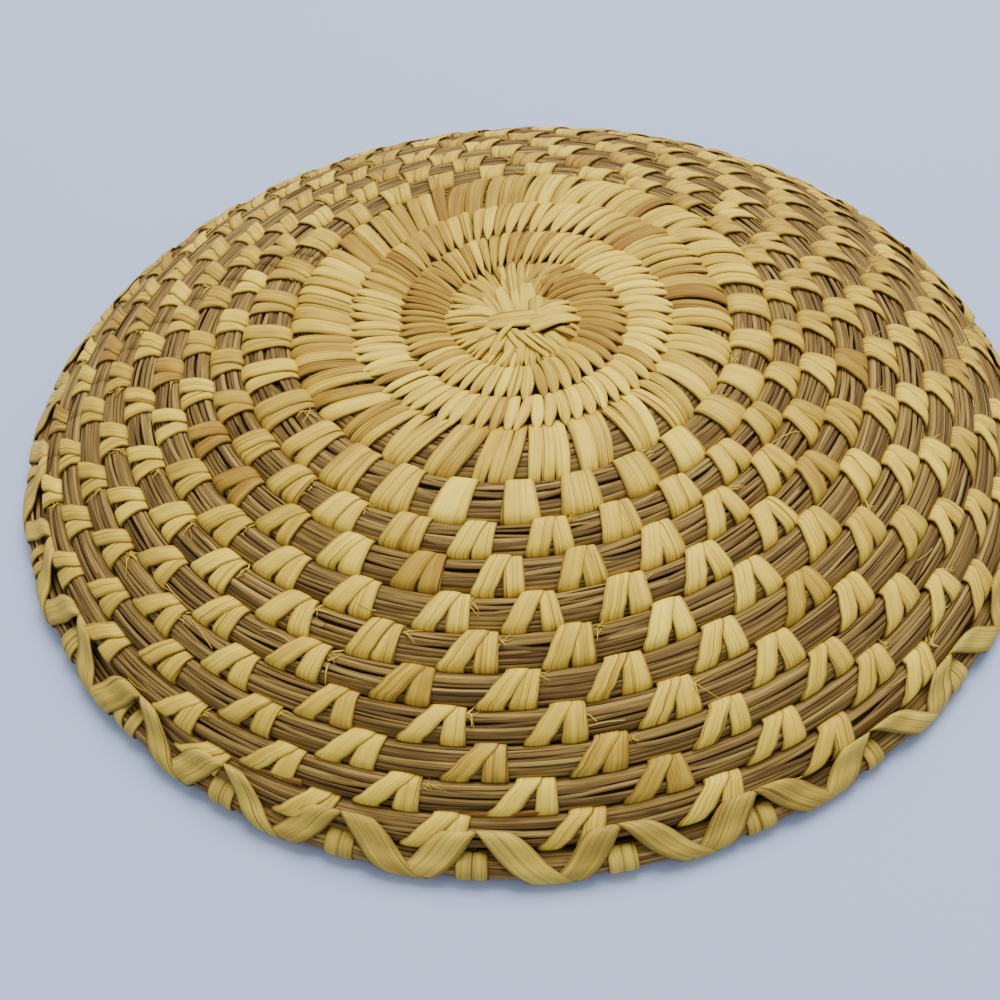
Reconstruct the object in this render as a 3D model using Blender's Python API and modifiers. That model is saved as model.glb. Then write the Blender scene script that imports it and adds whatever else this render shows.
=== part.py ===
# Coiled grass basket tray, lying face down on its rim.
#
# One long bundle of split grass winds out from the centre. Every round is sewn to the round
# inside it with flat leaf strips: side by side over the flat middle, and spread apart on the
# sloping wall. The rim is a ring of its own, lashed on with slanting strips.
#
# A place on the coil is given by its turns from the centre, counted clockwise from above,
# with whole turns at the front (-Y). "Reach" is a distance along the tray's face from the
# centre. The tray's face is the surface through the middle of the coil. Metres, +Z up.

import math
from collections import namedtuple

import bpy
import bmesh
import numpy as np
from mathutils import Vector

# Where the coil's outer edge lies: (turns, reach)
EDGE_REACH = [(-0.6, 0.0015), (0.0, 0.0025), (0.4, 0.0090), (1.0, 0.0210), (1.5, 0.0270),
              (2.0, 0.0350), (2.5, 0.0415), (3.0, 0.0490), (3.5, 0.0580), (4.0, 0.0675),
              (4.5, 0.0760), (5.0, 0.0808), (6.0, 0.0908), (7.0, 0.1013), (8.0, 0.1113),
              (9.0, 0.1214), (10.0, 0.1307), (11.0, 0.1396), (12.0, 0.1480), (13.0, 0.1563),
              (14.0, 0.1646), (15.0, 0.1722)]
# The first rounds were wound a little off the tray's axis: (turns, to the right, to the front)
WINDING_DRIFT = [(0.2, 0.0, 0.0), (1.0, 0.0044, 0.0026), (1.5, 0.0044, 0.0026), (2.5, 0.0043, 0.0),
                 (4.2, 0.0040, 0.0), (5.0, 0.0, 0.0)]
# How the face falls away from level: (reach, slope in degrees)
FACE_SLOPE = [(0.065, 0.0), (0.080, 11.5), (0.100, 17.3), (0.120, 20.4), (0.150, 35.0), (0.175, 46.0)]
FACE_LENGTH = 0.2200
FACE_STEP = 0.0005

# The coil
COIL_START = 0.40
COIL_END = 14.15
TAIL_START = 14.0
TAIL_LEFT = 0.25
COIL_THICKNESS = 0.0080
END_STEP = 0.0010
# Corners of its section, in shares of half the width and thickness: (outwards, up off the face).
# They start at the outer edge and go round over the top to the flat inner side.
SECTION = [(1.0, 0.0), (0.45, 1.0), (-0.85, 0.8), (-0.85, -0.8), (0.45, -1.0)]
INNER_UNDER, UNDER, OUTER_EDGE, SHOULDER, INNER_TOP = -2.0, -1.0, 0.0, 1.0, 2.0

# The sewing strips
STITCHES_PER_ROUND = 28
SWIRL = math.radians(4.7)
OPEN_FROM = 4.72
STRIP_THICKNESS = 0.0005
APEX_WIDTH = 0.0052
FOOT_WIDTH = 0.0088
LEAN = 0.0030
# How much of its widening and leaning a strip has done where it bends over the shoulder
SHOULDER_SHARE = 0.55

# The rim
RIM_MEETS = 14.22
RIM_THICK = 0.0052
RIM_THIN = 0.0033
LASH_WIDTH = 0.0080
FLOOR_ROOM = 0.0008
LASH_OVER = 0.15
LASH_SHOULDER_SHARE = 0.6

# The plaited start, whose lower strips lie this far above the middle of the face
START_HEIGHT = 0.0047
START_STRIPS = 4
KNOT_LENGTH = 0.0200
KNOT_WIDTH = 0.0038
KNOT_PITCH = 0.0052

# Between pieces that touch, and between one round's corners and the next round's flats
CLEARANCE = 0.0003
CORNER_ROOM = 0.0009
RIM_ROOM = 0.0011
JOIN_DISTANCE = 0.00001

GRASS = ("split_grass", (0.33, 0.21, 0.065), 0.62)
STRIP = ("leaf_strip", (0.68, 0.53, 0.25), 0.55)
RIM_GRASS = ("rim_grass", (0.30, 0.19, 0.06), 0.62)
LASHING = ("lashing_strip", (0.66, 0.51, 0.24), 0.55)
KNOT = ("knot_strip", (0.70, 0.56, 0.28), 0.55)

FULL_TURN = 2.0 * math.pi
STITCH_STEP = (FULL_TURN - SWIRL) / STITCHES_PER_ROUND / FULL_TURN
SIDE_ROOM = 2.0 * CLEARANCE + STRIP_THICKNESS + CORNER_ROOM

# The rim stands on the flat of its section that runs from the last corner to the first. Turned to
# lie level, it is this share of the half thickness below the middle.
FLOOR_FLAT = (SECTION[0][0] - SECTION[-1][0], SECTION[0][1] - SECTION[-1][1])
RIM_SLOPE = math.atan2(FLOOR_FLAT[1], FLOOR_FLAT[0])
FLOOR_SHARE = SECTION[0][0] * math.sin(RIM_SLOPE)

# A cut across the coil or the rim. Lead is how far the cut turns away from the centre, because
# it is square to a line that winds outwards.
Section = namedtuple("Section", "radius height slope lead half_width half_thickness")


def clear_scene():
    for thing in list(bpy.data.objects):
        bpy.data.objects.remove(thing, do_unlink=True)


def winding_drift(turns):
    """How far a round's own centre lies to the right and to the front of the tray's axis."""
    table, right, front = zip(*WINDING_DRIFT)
    return float(np.interp(turns, table, right)), float(np.interp(turns, table, front))


def edge_reach(turns):
    """Reach of the coil's outer edge: the table's - right sin(2 pi turns) + front cos(2 pi turns)."""
    right, front = winding_drift(turns)
    around = FULL_TURN * turns
    return float(np.interp(turns, *zip(*EDGE_REACH))) - right * math.sin(around) + front * math.cos(around)


def make_face():
    """The face's profile: radius and fall, summed along the reach in short steps."""
    reach = np.arange(0.0, FACE_LENGTH, FACE_STEP)
    slope = np.radians(np.interp(reach, *zip(*FACE_SLOPE)))
    step = np.diff(reach)
    radius = np.concatenate([[0.0], np.cumsum(np.cos((slope[1:] + slope[:-1]) / 2.0) * step)])
    fall = np.concatenate([[0.0], np.cumsum(np.sin((slope[1:] + slope[:-1]) / 2.0) * step)])
    return reach, slope, radius, fall


FACE = make_face()


def face_at(reach):
    """Radius, fall below the centre, and slope of the face at a reach."""
    table, slope, radius, fall = FACE
    return np.interp(reach, table, radius), np.interp(reach, table, fall), np.interp(reach, table, slope)


def coil_width(turns):
    """Reach of the coil's middle, and its half width, which the tail narrows."""
    inner = edge_reach(turns - 1.0)
    left = 1.0
    if turns > TAIL_START:
        left = 1.0 - (1.0 - TAIL_LEFT) * (turns - TAIL_START) / (COIL_END - TAIL_START)
    half_width = (edge_reach(turns) - inner - SIDE_ROOM) / 2.0 * left
    return inner + SIDE_ROOM / 2.0 + half_width, half_width


def widest_half(number):
    """Half width of a round where it is widest, among its corners."""
    return max(coil_width(turns)[1] for turns in corner_turns(number))


def corner_turns(number):
    """Turns at the corners of a round: one at each end of every stitch's stretch."""
    first = (number - 1) * STITCHES_PER_ROUND
    count = min(STITCHES_PER_ROUND, round((COIL_END - COIL_START) / STITCH_STEP) - first)
    return [COIL_START + (first + index) * STITCH_STEP for index in range(count + 1)]


def round_stations(number):
    """A round's corners, its first and last a clearance short of the rounds before and after it."""
    stations = corner_turns(number)
    stations[0] += CLEARANCE / (FULL_TURN * coil_section(stations[0], number).radius)
    stations[-1] -= CLEARANCE / (FULL_TURN * coil_section(stations[-1], number).radius)
    return stations


def coil_section(turns, number):
    """The cut across a round of the coil at a number of turns.

    Its lead is atan(dr / (2 pi r dturns)), and its thickness keeps the round's own proportion
    to its width.
    """
    reach, half_width = coil_width(turns)
    radius, fall, slope = face_at(reach)
    before = face_at(coil_width(turns - STITCH_STEP)[0])[0]
    after = face_at(coil_width(turns + STITCH_STEP)[0])[0]
    lead = math.atan2((after - before) / (2.0 * STITCH_STEP), FULL_TURN * radius)
    half_thickness = COIL_THICKNESS / 2.0 * half_width / widest_half(number)
    return Section(radius, CENTRE_HEIGHT - fall, slope, lead, half_width, half_thickness)


def rim_half(part):
    """Half thickness of the rim at a part of a turn: thick where the coil ends, then thinner."""
    tail = RIM_MEETS - TAIL_START
    if part < tail:
        return RIM_THIN + (RIM_THICK - RIM_THIN) * part / tail
    return RIM_THICK + (RIM_THIN - RIM_THICK) * (part - tail) / (1.0 - tail)


def rim_radius(part, turns):
    """Radius where the rim rests against the coil at a number of turns.

    With d the sum of both half widths and the room between, and h the height from the rim's
    middle to the coil's, it is the coil's radius + sqrt(d^2 - h^2).
    """
    half = rim_half(part)
    reach, half_width = coil_width(turns)
    radius, fall, _ = face_at(reach)
    apart = half_width + half + 2.0 * CLEARANCE + STRIP_THICKNESS + RIM_ROOM
    rise = CENTRE_HEIGHT - fall - half * FLOOR_SHARE
    return radius + math.sqrt(max(apart * apart - rise * rise, 0.0))


def rim_section(turns):
    """The rim against the last round; along the tail it goes over from one round to the next."""
    part = turns % 1.0
    tail = RIM_MEETS - TAIL_START
    radius = rim_radius(part, TAIL_START - 1.0 + part)
    if part < tail:
        blend = part / tail
        blend = blend * blend * (3.0 - 2.0 * blend)
        outer = rim_radius(part, TAIL_START)
        radius = outer + (radius - outer) * blend
    half = rim_half(part)
    return Section(radius, half * FLOOR_SHARE, RIM_SLOPE, 0.0, half, half)


def centre_height():
    """Height of the face at the centre: the rim stands on z = 0 and the coil's end leans on it."""
    reach, half_width = coil_width(TAIL_START)
    _, fall, slope = face_at(reach)
    apart = half_width + RIM_THIN + 2.0 * CLEARANCE + STRIP_THICKNESS + RIM_ROOM
    return fall + RIM_THIN * FLOOR_SHARE + apart * math.sin(slope)


CENTRE_HEIGHT = centre_height()


def ring_point(radius, height, turns):
    """The point at a radius and height, turns round clockwise from the front."""
    angle = -math.pi / 2.0 - FULL_TURN * turns
    return Vector((radius * math.cos(angle), radius * math.sin(angle), height))


def lifted_corner(section, index, lift):
    """A corner of a section after both its flats move out by lift: c + lift (n + m) / (1 + n.m)."""
    corners = [Vector((across * section.half_width, up * section.half_thickness)) for across, up in SECTION]
    corner = corners[index % len(corners)]
    after = corners[(index + 1) % len(corners)] - corner
    before = corner - corners[(index - 1) % len(corners)]
    normals = [Vector((edge.y, -edge.x)).normalized() for edge in (before, after)]
    return corner + (normals[0] + normals[1]) * lift / (1.0 + normals[0].dot(normals[1]))


def outline_point(section, turns, place, lift):
    """A point on a section's outline, lifted off it. Place 1.5 is halfway from corner 1 to corner 2."""
    first = math.floor(place)
    corner = lifted_corner(section, first, lift)
    across, up = corner.lerp(lifted_corner(section, first + 1, lift), place - first)
    out = across * math.cos(section.slope) + up * math.sin(section.slope)
    rise = up * math.cos(section.slope) - across * math.sin(section.slope)
    around = -math.pi / 2.0 - FULL_TURN * turns + section.lead
    middle = ring_point(section.radius, section.height, turns)
    return middle + Vector((out * math.cos(around), out * math.sin(around), rise))


def flat_point(section_at, start, end, part, place, lift):
    """A point on the straight stretch of coil from start to end turns."""
    near = outline_point(section_at(start), start, place, lift)
    far = outline_point(section_at(end), end, place, lift)
    return near.lerp(far, part)


def make_material(spec):
    name, colour, roughness = spec
    material = bpy.data.materials.get(name)
    if material is None:
        material = bpy.data.materials.new(name)
        material.use_nodes = True
        shader = material.node_tree.nodes["Principled BSDF"]
        shader.inputs["Base Color"].default_value = (*colour, 1.0)
        shader.inputs["Roughness"].default_value = roughness
        shader.inputs["Metallic"].default_value = 0.0
    return material


def add_object(name, data, collection, spec=None):
    thing = bpy.data.objects.new(name, data)
    collection.objects.link(thing)
    if spec is not None:
        data.materials.append(make_material(spec))
    return thing


def make_section_guide(name, half_width, half_thickness, guides):
    """The coil's section, a flat outline that the curve is swept with. Its -X side faces outwards."""
    data = bpy.data.curves.new(name, "CURVE")
    data.dimensions = "2D"
    data.fill_mode = "NONE"
    outline = data.splines.new("POLY")
    outline.points.add(len(SECTION) - 1)
    for point, (across, up) in zip(outline.points, SECTION):
        point.co = (-half_width * across, half_thickness * up, 0.0, 1.0)
    outline.use_cyclic_u = True
    guide = add_object(name, data, guides)
    guide.hide_render = True
    guide.display_type = "WIRE"
    return guide


def make_swept_tube(name, points, tilts, sizes, guide, closed, collection, spec):
    """A tube along points, with its section turned by tilts and scaled by sizes."""
    data = bpy.data.curves.new(name, "CURVE")
    data.dimensions = "3D"
    data.twist_mode = "Z_UP"
    data.bevel_mode = "OBJECT"
    data.bevel_object = guide
    data.use_fill_caps = not closed
    spline = data.splines.new("POLY")
    spline.points.add(len(points) - 1)
    for target, point, tilt, size in zip(spline.points, points, tilts, sizes):
        target.co = (*point, 1.0)
        target.tilt = tilt
        target.radius = size
    spline.use_cyclic_u = closed
    return add_object(name, data, collection, spec)


def make_coil_round(number, collection, guides):
    """One round of the grass bundle. A short stretch at each end turns its end face square."""
    stations = round_stations(number)
    stations.insert(1, stations[0] + END_STEP / (FULL_TURN * coil_section(stations[0], number).radius))
    stations.insert(-1, stations[-1] - END_STEP / (FULL_TURN * coil_section(stations[-1], number).radius))
    sections = [coil_section(turns, number) for turns in stations]
    widest = widest_half(number)
    guide = make_section_guide(f"coil_section_{number:02d}", widest, COIL_THICKNESS / 2.0, guides)
    points = [ring_point(section.radius, section.height, turns) for section, turns in zip(sections, stations)]
    tilts = [-section.slope for section in sections]
    sizes = [section.half_width / widest for section in sections]
    return make_swept_tube(f"grass_coil_{number:02d}", points, tilts, sizes, guide, False, collection, GRASS)


def add_strip(mesh, rows):
    """A strip of faces through rows, each a pair of points. It faces up where the rows run along +X
    and each pair along +Y.
    """
    made = bmesh.ops.create_grid(mesh, x_segments=len(rows) - 1, y_segments=1, size=1.0)
    corners = sorted(made["verts"], key=lambda corner: (round(corner.co.x, 4), corner.co.y))
    for number, (low, high) in enumerate(rows):
        corners[2 * number].co = low
        corners[2 * number + 1].co = high


def add_strips(name, mesh, collection, spec):
    """Joins strips where their ends meet, and gives them their thickness outwards from the coil."""
    bmesh.ops.remove_doubles(mesh, verts=mesh.verts, dist=JOIN_DISTANCE)
    data = bpy.data.meshes.new(name)
    mesh.to_mesh(data)
    mesh.free()
    thing = add_object(name, data, collection, spec)
    solid = thing.modifiers.new("thickness", "SOLIDIFY")
    solid.thickness = STRIP_THICKNESS
    solid.offset = 1.0
    solid.use_even_offset = True
    return thing


def stretches(number):
    """The round's straight stretches, one for each stitch: start and end turns."""
    stations = round_stations(number)
    return list(zip(stations[:-1], stations[1:]))


def make_closed_sewing(number, collection):
    """Strips side by side cover the coil from its inner top corner round its outer edge."""
    mesh = bmesh.new()
    for start, end in stretches(number):
        if start < OPEN_FROM:
            rows = []
            for place in (INNER_TOP, SHOULDER, OUTER_EDGE, UNDER):
                rows.append([outline_point(coil_section(turns, number), turns, place, CLEARANCE)
                             for turns in (end, start)])
            add_strip(mesh, rows)
    return add_strips(f"closed_sewing_{number:02d}", mesh, collection, STRIP)


def open_stitch(number, start, end):
    """Rows of one spread stitch, narrow at its top and wide and leaning at its foot. Under the coil
    it goes on to the end of the stretch.
    """
    length = FULL_TURN * STITCH_STEP * coil_section((start + end) / 2.0, number).radius
    onward = 0.5 - APEX_WIDTH / 2.0 / length
    rows = []
    for place, share, along in ((INNER_TOP, 0.0, 0.0), (SHOULDER, SHOULDER_SHARE, 0.0),
                                (OUTER_EDGE, 1.0, 0.0), (UNDER, SHOULDER_SHARE, onward / 2.0),
                                (INNER_UNDER, 0.0, onward + LEAN / 2.0 / length)):
        middle = 0.5 + along + LEAN * (share - 0.5) / length
        half = (APEX_WIDTH + (FOOT_WIDTH - APEX_WIDTH) * share) / 2.0 / length
        row = [flat_point(lambda turns: coil_section(turns, number), start, end, part, place, CLEARANCE)
               for part in (middle + half, middle - half)]
        rows.append(row)
    return rows


def make_split_sewing(number, collection):
    """One strip winds round the coil: over it at each stitch, and on to the next at its inner side."""
    mesh = bmesh.new()
    last = None
    for start, end in stretches(number):
        if OPEN_FROM <= start < TAIL_START:
            rows = open_stitch(number, start, end)
            if last is not None:
                rows = [last] + rows
            add_strip(mesh, rows)
            last = rows[-1]
    return add_strips(f"split_sewing_{number:02d}", mesh, collection, STRIP)


def make_rim_coil(collection, guides):
    """The rim's grass ring. One flat of its section lies level, so it stands on z = 0."""
    stations = [(index + 0.5) / STITCHES_PER_ROUND for index in range(STITCHES_PER_ROUND)]
    sections = [rim_section(turns) for turns in stations]
    guide = make_section_guide("rim_section", RIM_THICK, RIM_THICK, guides)
    points = [ring_point(section.radius, section.height, turns) for section, turns in zip(sections, stations)]
    tilts = [-section.slope for section in sections]
    sizes = [section.half_width / RIM_THICK for section in sections]
    return make_swept_tube("rim_coil", points, tilts, sizes, guide, True, collection, RIM_GRASS)


def make_rim_lashing(collection):
    """A zigzag strip: from the rim's inner edge it slants down both ways to meet its neighbours.

    Its foot is a place on the rim's outer flat. The flat rises by about RIM_THIN * FLOOR_SHARE,
    and FLOOR_ROOM is left under the strip.
    """
    mesh = bmesh.new()
    foot = (FLOOR_ROOM + STRIP_THICKNESS + CLEARANCE) / (RIM_THIN * FLOOR_SHARE)
    for index in range(STITCHES_PER_ROUND):
        start = (index - 0.5) / STITCHES_PER_ROUND
        end = (index + 0.5) / STITCHES_PER_ROUND
        section = rim_section(index / STITCHES_PER_ROUND)
        width = LASH_WIDTH / (FULL_TURN / STITCHES_PER_ROUND * section.radius)
        for mirrored in (False, True):
            rows = []
            for place, share in ((INNER_TOP + LASH_OVER, 0.0), (INNER_TOP, 0.0),
                                 (SHOULDER, LASH_SHOULDER_SHARE), (foot + LASH_OVER, 1.0), (foot, 1.0)):
                low = 0.5 + (0.5 - width) * share
                parts = (1.0 - low, 1.0 - low - width) if mirrored else (low + width, low)
                rows.append([flat_point(rim_section, start, end, part, place, CLEARANCE) for part in parts])
            add_strip(mesh, rows)
    return add_strips("rim_lashing", mesh, collection, LASHING)


def make_start_strips(collection):
    """Four plaited strips over the coil's start: each goes over one that crosses it and under the other."""
    right, front = winding_drift(COIL_START + 1.0)
    bottom = CENTRE_HEIGHT + START_HEIGHT
    step = STRIP_THICKNESS + CLEARANCE
    bend = KNOT_WIDTH / 2.0 + CLEARANCE
    inner = KNOT_PITCH / 2.0 - bend
    outer = KNOT_PITCH / 2.0 + bend
    for number in range(START_STRIPS):
        crossing = number // 2
        side = number % 2
        first_over = side == 1
        mesh = bmesh.new()
        rows = []
        for along, over in ((-KNOT_LENGTH / 2.0, False), (-outer - bend, False), (-outer, first_over),
                            (-inner, first_over), (inner, not first_over), (outer, not first_over),
                            (outer + bend, False), (KNOT_LENGTH / 2.0, False)):
            row = []
            for edge in (-0.5, 0.5):
                across = (side - 0.5) * KNOT_PITCH + edge * KNOT_WIDTH
                x, y = (along, across) if crossing == 0 else (-across, along)
                row.append(Vector((right + x, y - front, bottom + (step if over else 0.0))))
            rows.append(row)
        add_strip(mesh, rows)
        add_strips(f"start_strip_{number + 1}", mesh, collection, KNOT)


def centre_parts(collection):
    """Moves the parts level, so that the box round them all has its middle on the Z axis."""
    bpy.context.view_layer.update()
    corners = np.array([thing.matrix_world @ Vector(corner) for thing in collection.objects
                        for corner in thing.bound_box])
    middle = (corners.min(axis=0) + corners.max(axis=0)) / 2.0
    print("spiral's middle moved by", -middle[:2])
    for thing in collection.objects:
        thing.location = (-middle[0], -middle[1], 0.0)


def build():
    clear_scene()
    scene = bpy.context.scene
    parts = bpy.data.collections.new("grass_basket_tray")
    guides = bpy.data.collections.new("guides")
    scene.collection.children.link(parts)
    scene.collection.children.link(guides)
    rounds = math.ceil(round((COIL_END - COIL_START) / STITCH_STEP) / STITCHES_PER_ROUND)
    for number in range(1, rounds + 1):
        make_coil_round(number, parts, guides)
        if corner_turns(number)[0] < OPEN_FROM:
            make_closed_sewing(number, parts)
        if corner_turns(number)[-2] >= OPEN_FROM:
            make_split_sewing(number, parts)
    make_rim_coil(parts, guides)
    make_rim_lashing(parts)
    make_start_strips(parts)
    centre_parts(parts)


build()
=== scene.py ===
# %% [markdown]
# # A coiled grass basket tray
# The tray is one long bundle of split grass, wound outwards from the middle and sewn to itself
# with flat strips of leaf. It lies face down, so what shows is the outside of the bowl.
# The solid model gives the sizes. This script dresses it: stems, strips, rim and light.
# Everything is made from numpy arrays, because a coil is easy to say as a formula and slow to
# draw by hand.

# %% The frame
import math

import bpy
import numpy as np
from mathutils import Matrix, Vector


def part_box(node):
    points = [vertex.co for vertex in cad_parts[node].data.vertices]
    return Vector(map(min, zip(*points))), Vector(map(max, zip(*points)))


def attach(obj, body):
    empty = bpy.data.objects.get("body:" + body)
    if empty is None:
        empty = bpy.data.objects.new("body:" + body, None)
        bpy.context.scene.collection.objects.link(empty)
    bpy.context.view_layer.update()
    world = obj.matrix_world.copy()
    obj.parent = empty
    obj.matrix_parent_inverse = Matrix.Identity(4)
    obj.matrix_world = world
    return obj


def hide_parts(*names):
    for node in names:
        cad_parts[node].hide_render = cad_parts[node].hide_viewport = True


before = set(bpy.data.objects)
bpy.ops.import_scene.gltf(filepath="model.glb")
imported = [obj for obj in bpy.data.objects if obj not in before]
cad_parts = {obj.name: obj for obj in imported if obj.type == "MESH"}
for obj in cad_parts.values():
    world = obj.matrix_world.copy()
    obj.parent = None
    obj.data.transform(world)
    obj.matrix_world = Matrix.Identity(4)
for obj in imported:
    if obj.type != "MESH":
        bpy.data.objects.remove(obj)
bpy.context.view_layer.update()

# %% [markdown]
# ## Where the coil runs
# A place on the tray is given by its turns from the centre, clockwise seen from above with whole
# turns at the front, and by its reach, the distance along the bowl's face. Two short tables say
# all of it: how far out the coil's outer edge is at each turn, and how steep the face is at each
# reach. The face's own radius and fall are the running sums of cosine and sine of that slope.

# %% The spiral and the bowl
EDGE_REACH = np.array([  # turns, reach
    (-0.6, 0.0015), (0.0, 0.0025), (0.4, 0.0090), (1.0, 0.0210), (1.5, 0.0270), (2.0, 0.0350),
    (2.5, 0.0415), (3.0, 0.0490), (3.5, 0.0580), (4.0, 0.0675), (4.5, 0.0760), (5.0, 0.0808),
    (6.0, 0.0908), (7.0, 0.1013), (8.0, 0.1113), (9.0, 0.1214), (10.0, 0.1307), (11.0, 0.1396),
    (12.0, 0.1480), (13.0, 0.1563), (14.0, 0.1646), (15.0, 0.1722)])
WINDING_DRIFT = np.array([  # turns, shift of the round to the right and to the front
    (0.2, 0.0, 0.0), (1.0, 0.0044, 0.0026), (1.5, 0.0044, 0.0026), (2.5, 0.0043, 0.0),
    (4.2, 0.0040, 0.0), (5.0, 0.0, 0.0)])
FACE_SLOPE = np.array([  # reach, degrees
    (0.065, 0.0), (0.080, 11.5), (0.100, 17.3), (0.120, 20.4), (0.150, 35.0), (0.175, 46.0)])
FACE_LENGTH = 0.22
FACE_STEP = 0.0005
FULL_TURN = 2.0 * math.pi
START_HEIGHT = 0.0047

starts = [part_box(f"start_strip_{number}") for number in range(1, 5)]
KNOT_CENTRE = np.mean([[(low[axis] + high[axis]) / 2.0 for axis in (0, 1)] for low, high in starts],
                      axis=0)
SPIRAL_CENTRE = KNOT_CENTRE - WINDING_DRIFT[1, 1:] * (1.0, -1.0)
FACE_TOP = min(low[2] for low, _ in starts) - START_HEIGHT

face_reach = np.arange(0.0, FACE_LENGTH, FACE_STEP)
face_slope = np.radians(np.interp(face_reach, *FACE_SLOPE.T))


def running_sum(steps):
    """The sum of the steps so far along the last axis, from 0."""
    return np.cumsum(np.concatenate([0.0 * steps[..., :1], steps], axis=-1), axis=-1)


def down_the_face(values):
    """The values' averages over each FACE_STEP, summed from 0."""
    return running_sum(np.diff(face_reach) * (values[1:] + values[:-1]) / 2.0)


face_radius = down_the_face(np.cos(face_slope))
face_fall = down_the_face(np.sin(face_slope))


def edge_reach(turns):
    """Reach of the coil's outer edge: table - right sin(2 pi turns) + front cos(2 pi turns)."""
    table, right, front = WINDING_DRIFT.T
    around = FULL_TURN * turns
    return (np.interp(turns, *EDGE_REACH.T) - np.interp(turns, table, right) * np.sin(around)
            + np.interp(turns, table, front) * np.cos(around))


print("spiral's centre", SPIRAL_CENTRE.round(4), "face's top", round(FACE_TOP, 4))

# %% [markdown]
# ## From the face into the room
# A place on the face becomes x, y and z in two steps. The face's slope tips what lies across it
# and what stands up from it, and the turns carry the result round the tray's axis. Stems and
# strips all pass through this one function, so they sit on the same bowl.

# %% Places on the bowl
def place_at(radius, height, turns):
    """The points at a radius and height, turns round clockwise from the front."""
    around = -math.pi / 2.0 - FULL_TURN * turns
    return np.stack([SPIRAL_CENTRE[0] + radius * np.cos(around),
                     SPIRAL_CENTRE[1] + radius * np.sin(around), height + 0.0 * around], axis=-1)


def on_face(reach, turns, across, up):
    """Points across along the face and up from it, from the place at reach.

    With the slope there, out = across cos + up sin, and rise = up cos - across sin.
    """
    slope = np.interp(reach, face_reach, face_slope)
    out = across * np.cos(slope) + up * np.sin(slope)
    rise = up * np.cos(slope) - across * np.sin(slope)
    radius = np.interp(reach, face_reach, face_radius)
    return place_at(radius + out, FACE_TOP - np.interp(reach, face_reach, face_fall) + rise, turns)


print("the edge at 10 turns", on_face(edge_reach(10.0), 10.0, 0.0, 0.0).round(4))

# %% [markdown]
# ## The coil's own coordinates
# Every stem and strip follows the coil, so each is drawn in the coil's coordinates: turns along
# it, an angle round its section, and a lift off its surface. The angle is 0 outwards and a
# quarter turn up. The section is a squarish ellipse, a little flat where rounds press together.
# Each stitch pinches the bundle, so its thickness dips there.

# %% Coil coordinates
COIL_START = 0.40
COIL_END = 14.15
TAIL_START = 14.0
TAIL_SHOULDER = 0.06
TAIL_LEFT = 0.25
STITCHES_PER_ROUND = 28
SWIRL = math.radians(4.7)
STITCH_STEP = (FULL_TURN - SWIRL) / STITCHES_PER_ROUND / FULL_TURN
HALF_THICKNESS = 0.0043
CLOSED_SQUARENESS = 0.95
OPEN_SQUARENESS = 0.66
PINCH = 0.07
PINCH_LENGTH = 0.2
OPEN_FROM = 4.72


def smooth(value):
    """0 below 0, 1 above 1, and 3v^2 - 2v^3 between."""
    value = np.clip(value, 0.0, 1.0)
    return value * value * (3.0 - 2.0 * value)


def coil_size(turns):
    """Middle reach, half width and half thickness of the coil at turns.

    The tail shrinks to TAIL_LEFT, the start has 0.55 of the thickness, and each stitch takes PINCH
    off it.
    """
    inner = edge_reach(turns - 1.0)
    outer = edge_reach(turns)
    tail = smooth((turns - TAIL_START - TAIL_SHOULDER) / (COIL_END - TAIL_START - TAIL_SHOULDER))
    left = 1.0 - (1.0 - TAIL_LEFT) * tail
    half = (outer - inner) / 2.0
    place = (turns - COIL_START) / STITCH_STEP
    from_stitch = (place - np.floor(place) - 0.5) / PINCH_LENGTH
    pinch = 1.0 - PINCH * np.exp(-from_stitch ** 2) * smooth((turns - OPEN_FROM) / 0.1)
    thin_start = 0.55 + 0.45 * smooth((turns - 0.2) / 0.9)
    return inner + half * left, half * left, HALF_THICKNESS * left ** 0.7 * pinch * thin_start


def squared(value, turns):
    """A sine or cosine pushed outwards, sign(v) |v|^squareness, but less in the closed sewing."""
    open_part = smooth((turns - OPEN_FROM + 0.3) / 0.6)
    squareness = CLOSED_SQUARENESS + (OPEN_SQUARENESS - CLOSED_SQUARENESS) * open_part
    return np.sign(value) * np.abs(value) ** squareness


def coil_point(turns, angle, lift=0.0):
    """Points on the coil: across = (half width + lift) cos', up = (half thickness + lift) sin'."""
    turns, angle, lift = np.broadcast_arrays(turns, angle, lift)
    reach, half, thick = coil_size(turns)
    across = (half + lift) * squared(np.cos(angle), turns)
    up = (thick + lift) * squared(np.sin(angle), turns)
    return on_face(reach, turns, across, up)


def coil_radius(turns):
    """Distance of the coil's middle from the tray's axis."""
    return np.interp(coil_size(turns)[0], face_reach, face_radius)


print("rounds", COIL_END - COIL_START, "stitch step in turns", round(STITCH_STEP, 5))

# %% [markdown]
# ## The rim's coordinates
# The rim is a separate ring, thick where the coil's tail ends and thin further round. Its path is
# read from the solid ring: the middles of its cross sections, turned into a smooth closed curve
# with a few terms of a Fourier series. The angle round its section works as it does on the coil.

# %% Rim coordinates
RIM_TERMS = 5
RIM_FLOOR_ROOM = 0.0007


def ring_stations(node):
    """Turns, radius, height and half width at each cross section of the solid ring."""
    points = np.array([vertex.co[:] for vertex in node.data.vertices])
    points = np.unique(points.round(6), axis=0)
    flat = points[:, :2] - SPIRAL_CENTRE
    turns = (-math.pi / 2.0 - np.arctan2(flat[:, 1], flat[:, 0])) / FULL_TURN % 1.0
    radius = np.hypot(*flat.T)
    station = np.floor(turns * STITCHES_PER_ROUND).astype(int)
    rows = []
    for number in range(STITCHES_PER_ROUND):
        here = station == number
        low, high = radius[here].min(), radius[here].max()
        rows.append((turns[here].mean(), (low + high) / 2.0, points[here, 2].max() / 2.0,
                     (high - low) / 2.0))
    return np.array(rows)


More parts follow.
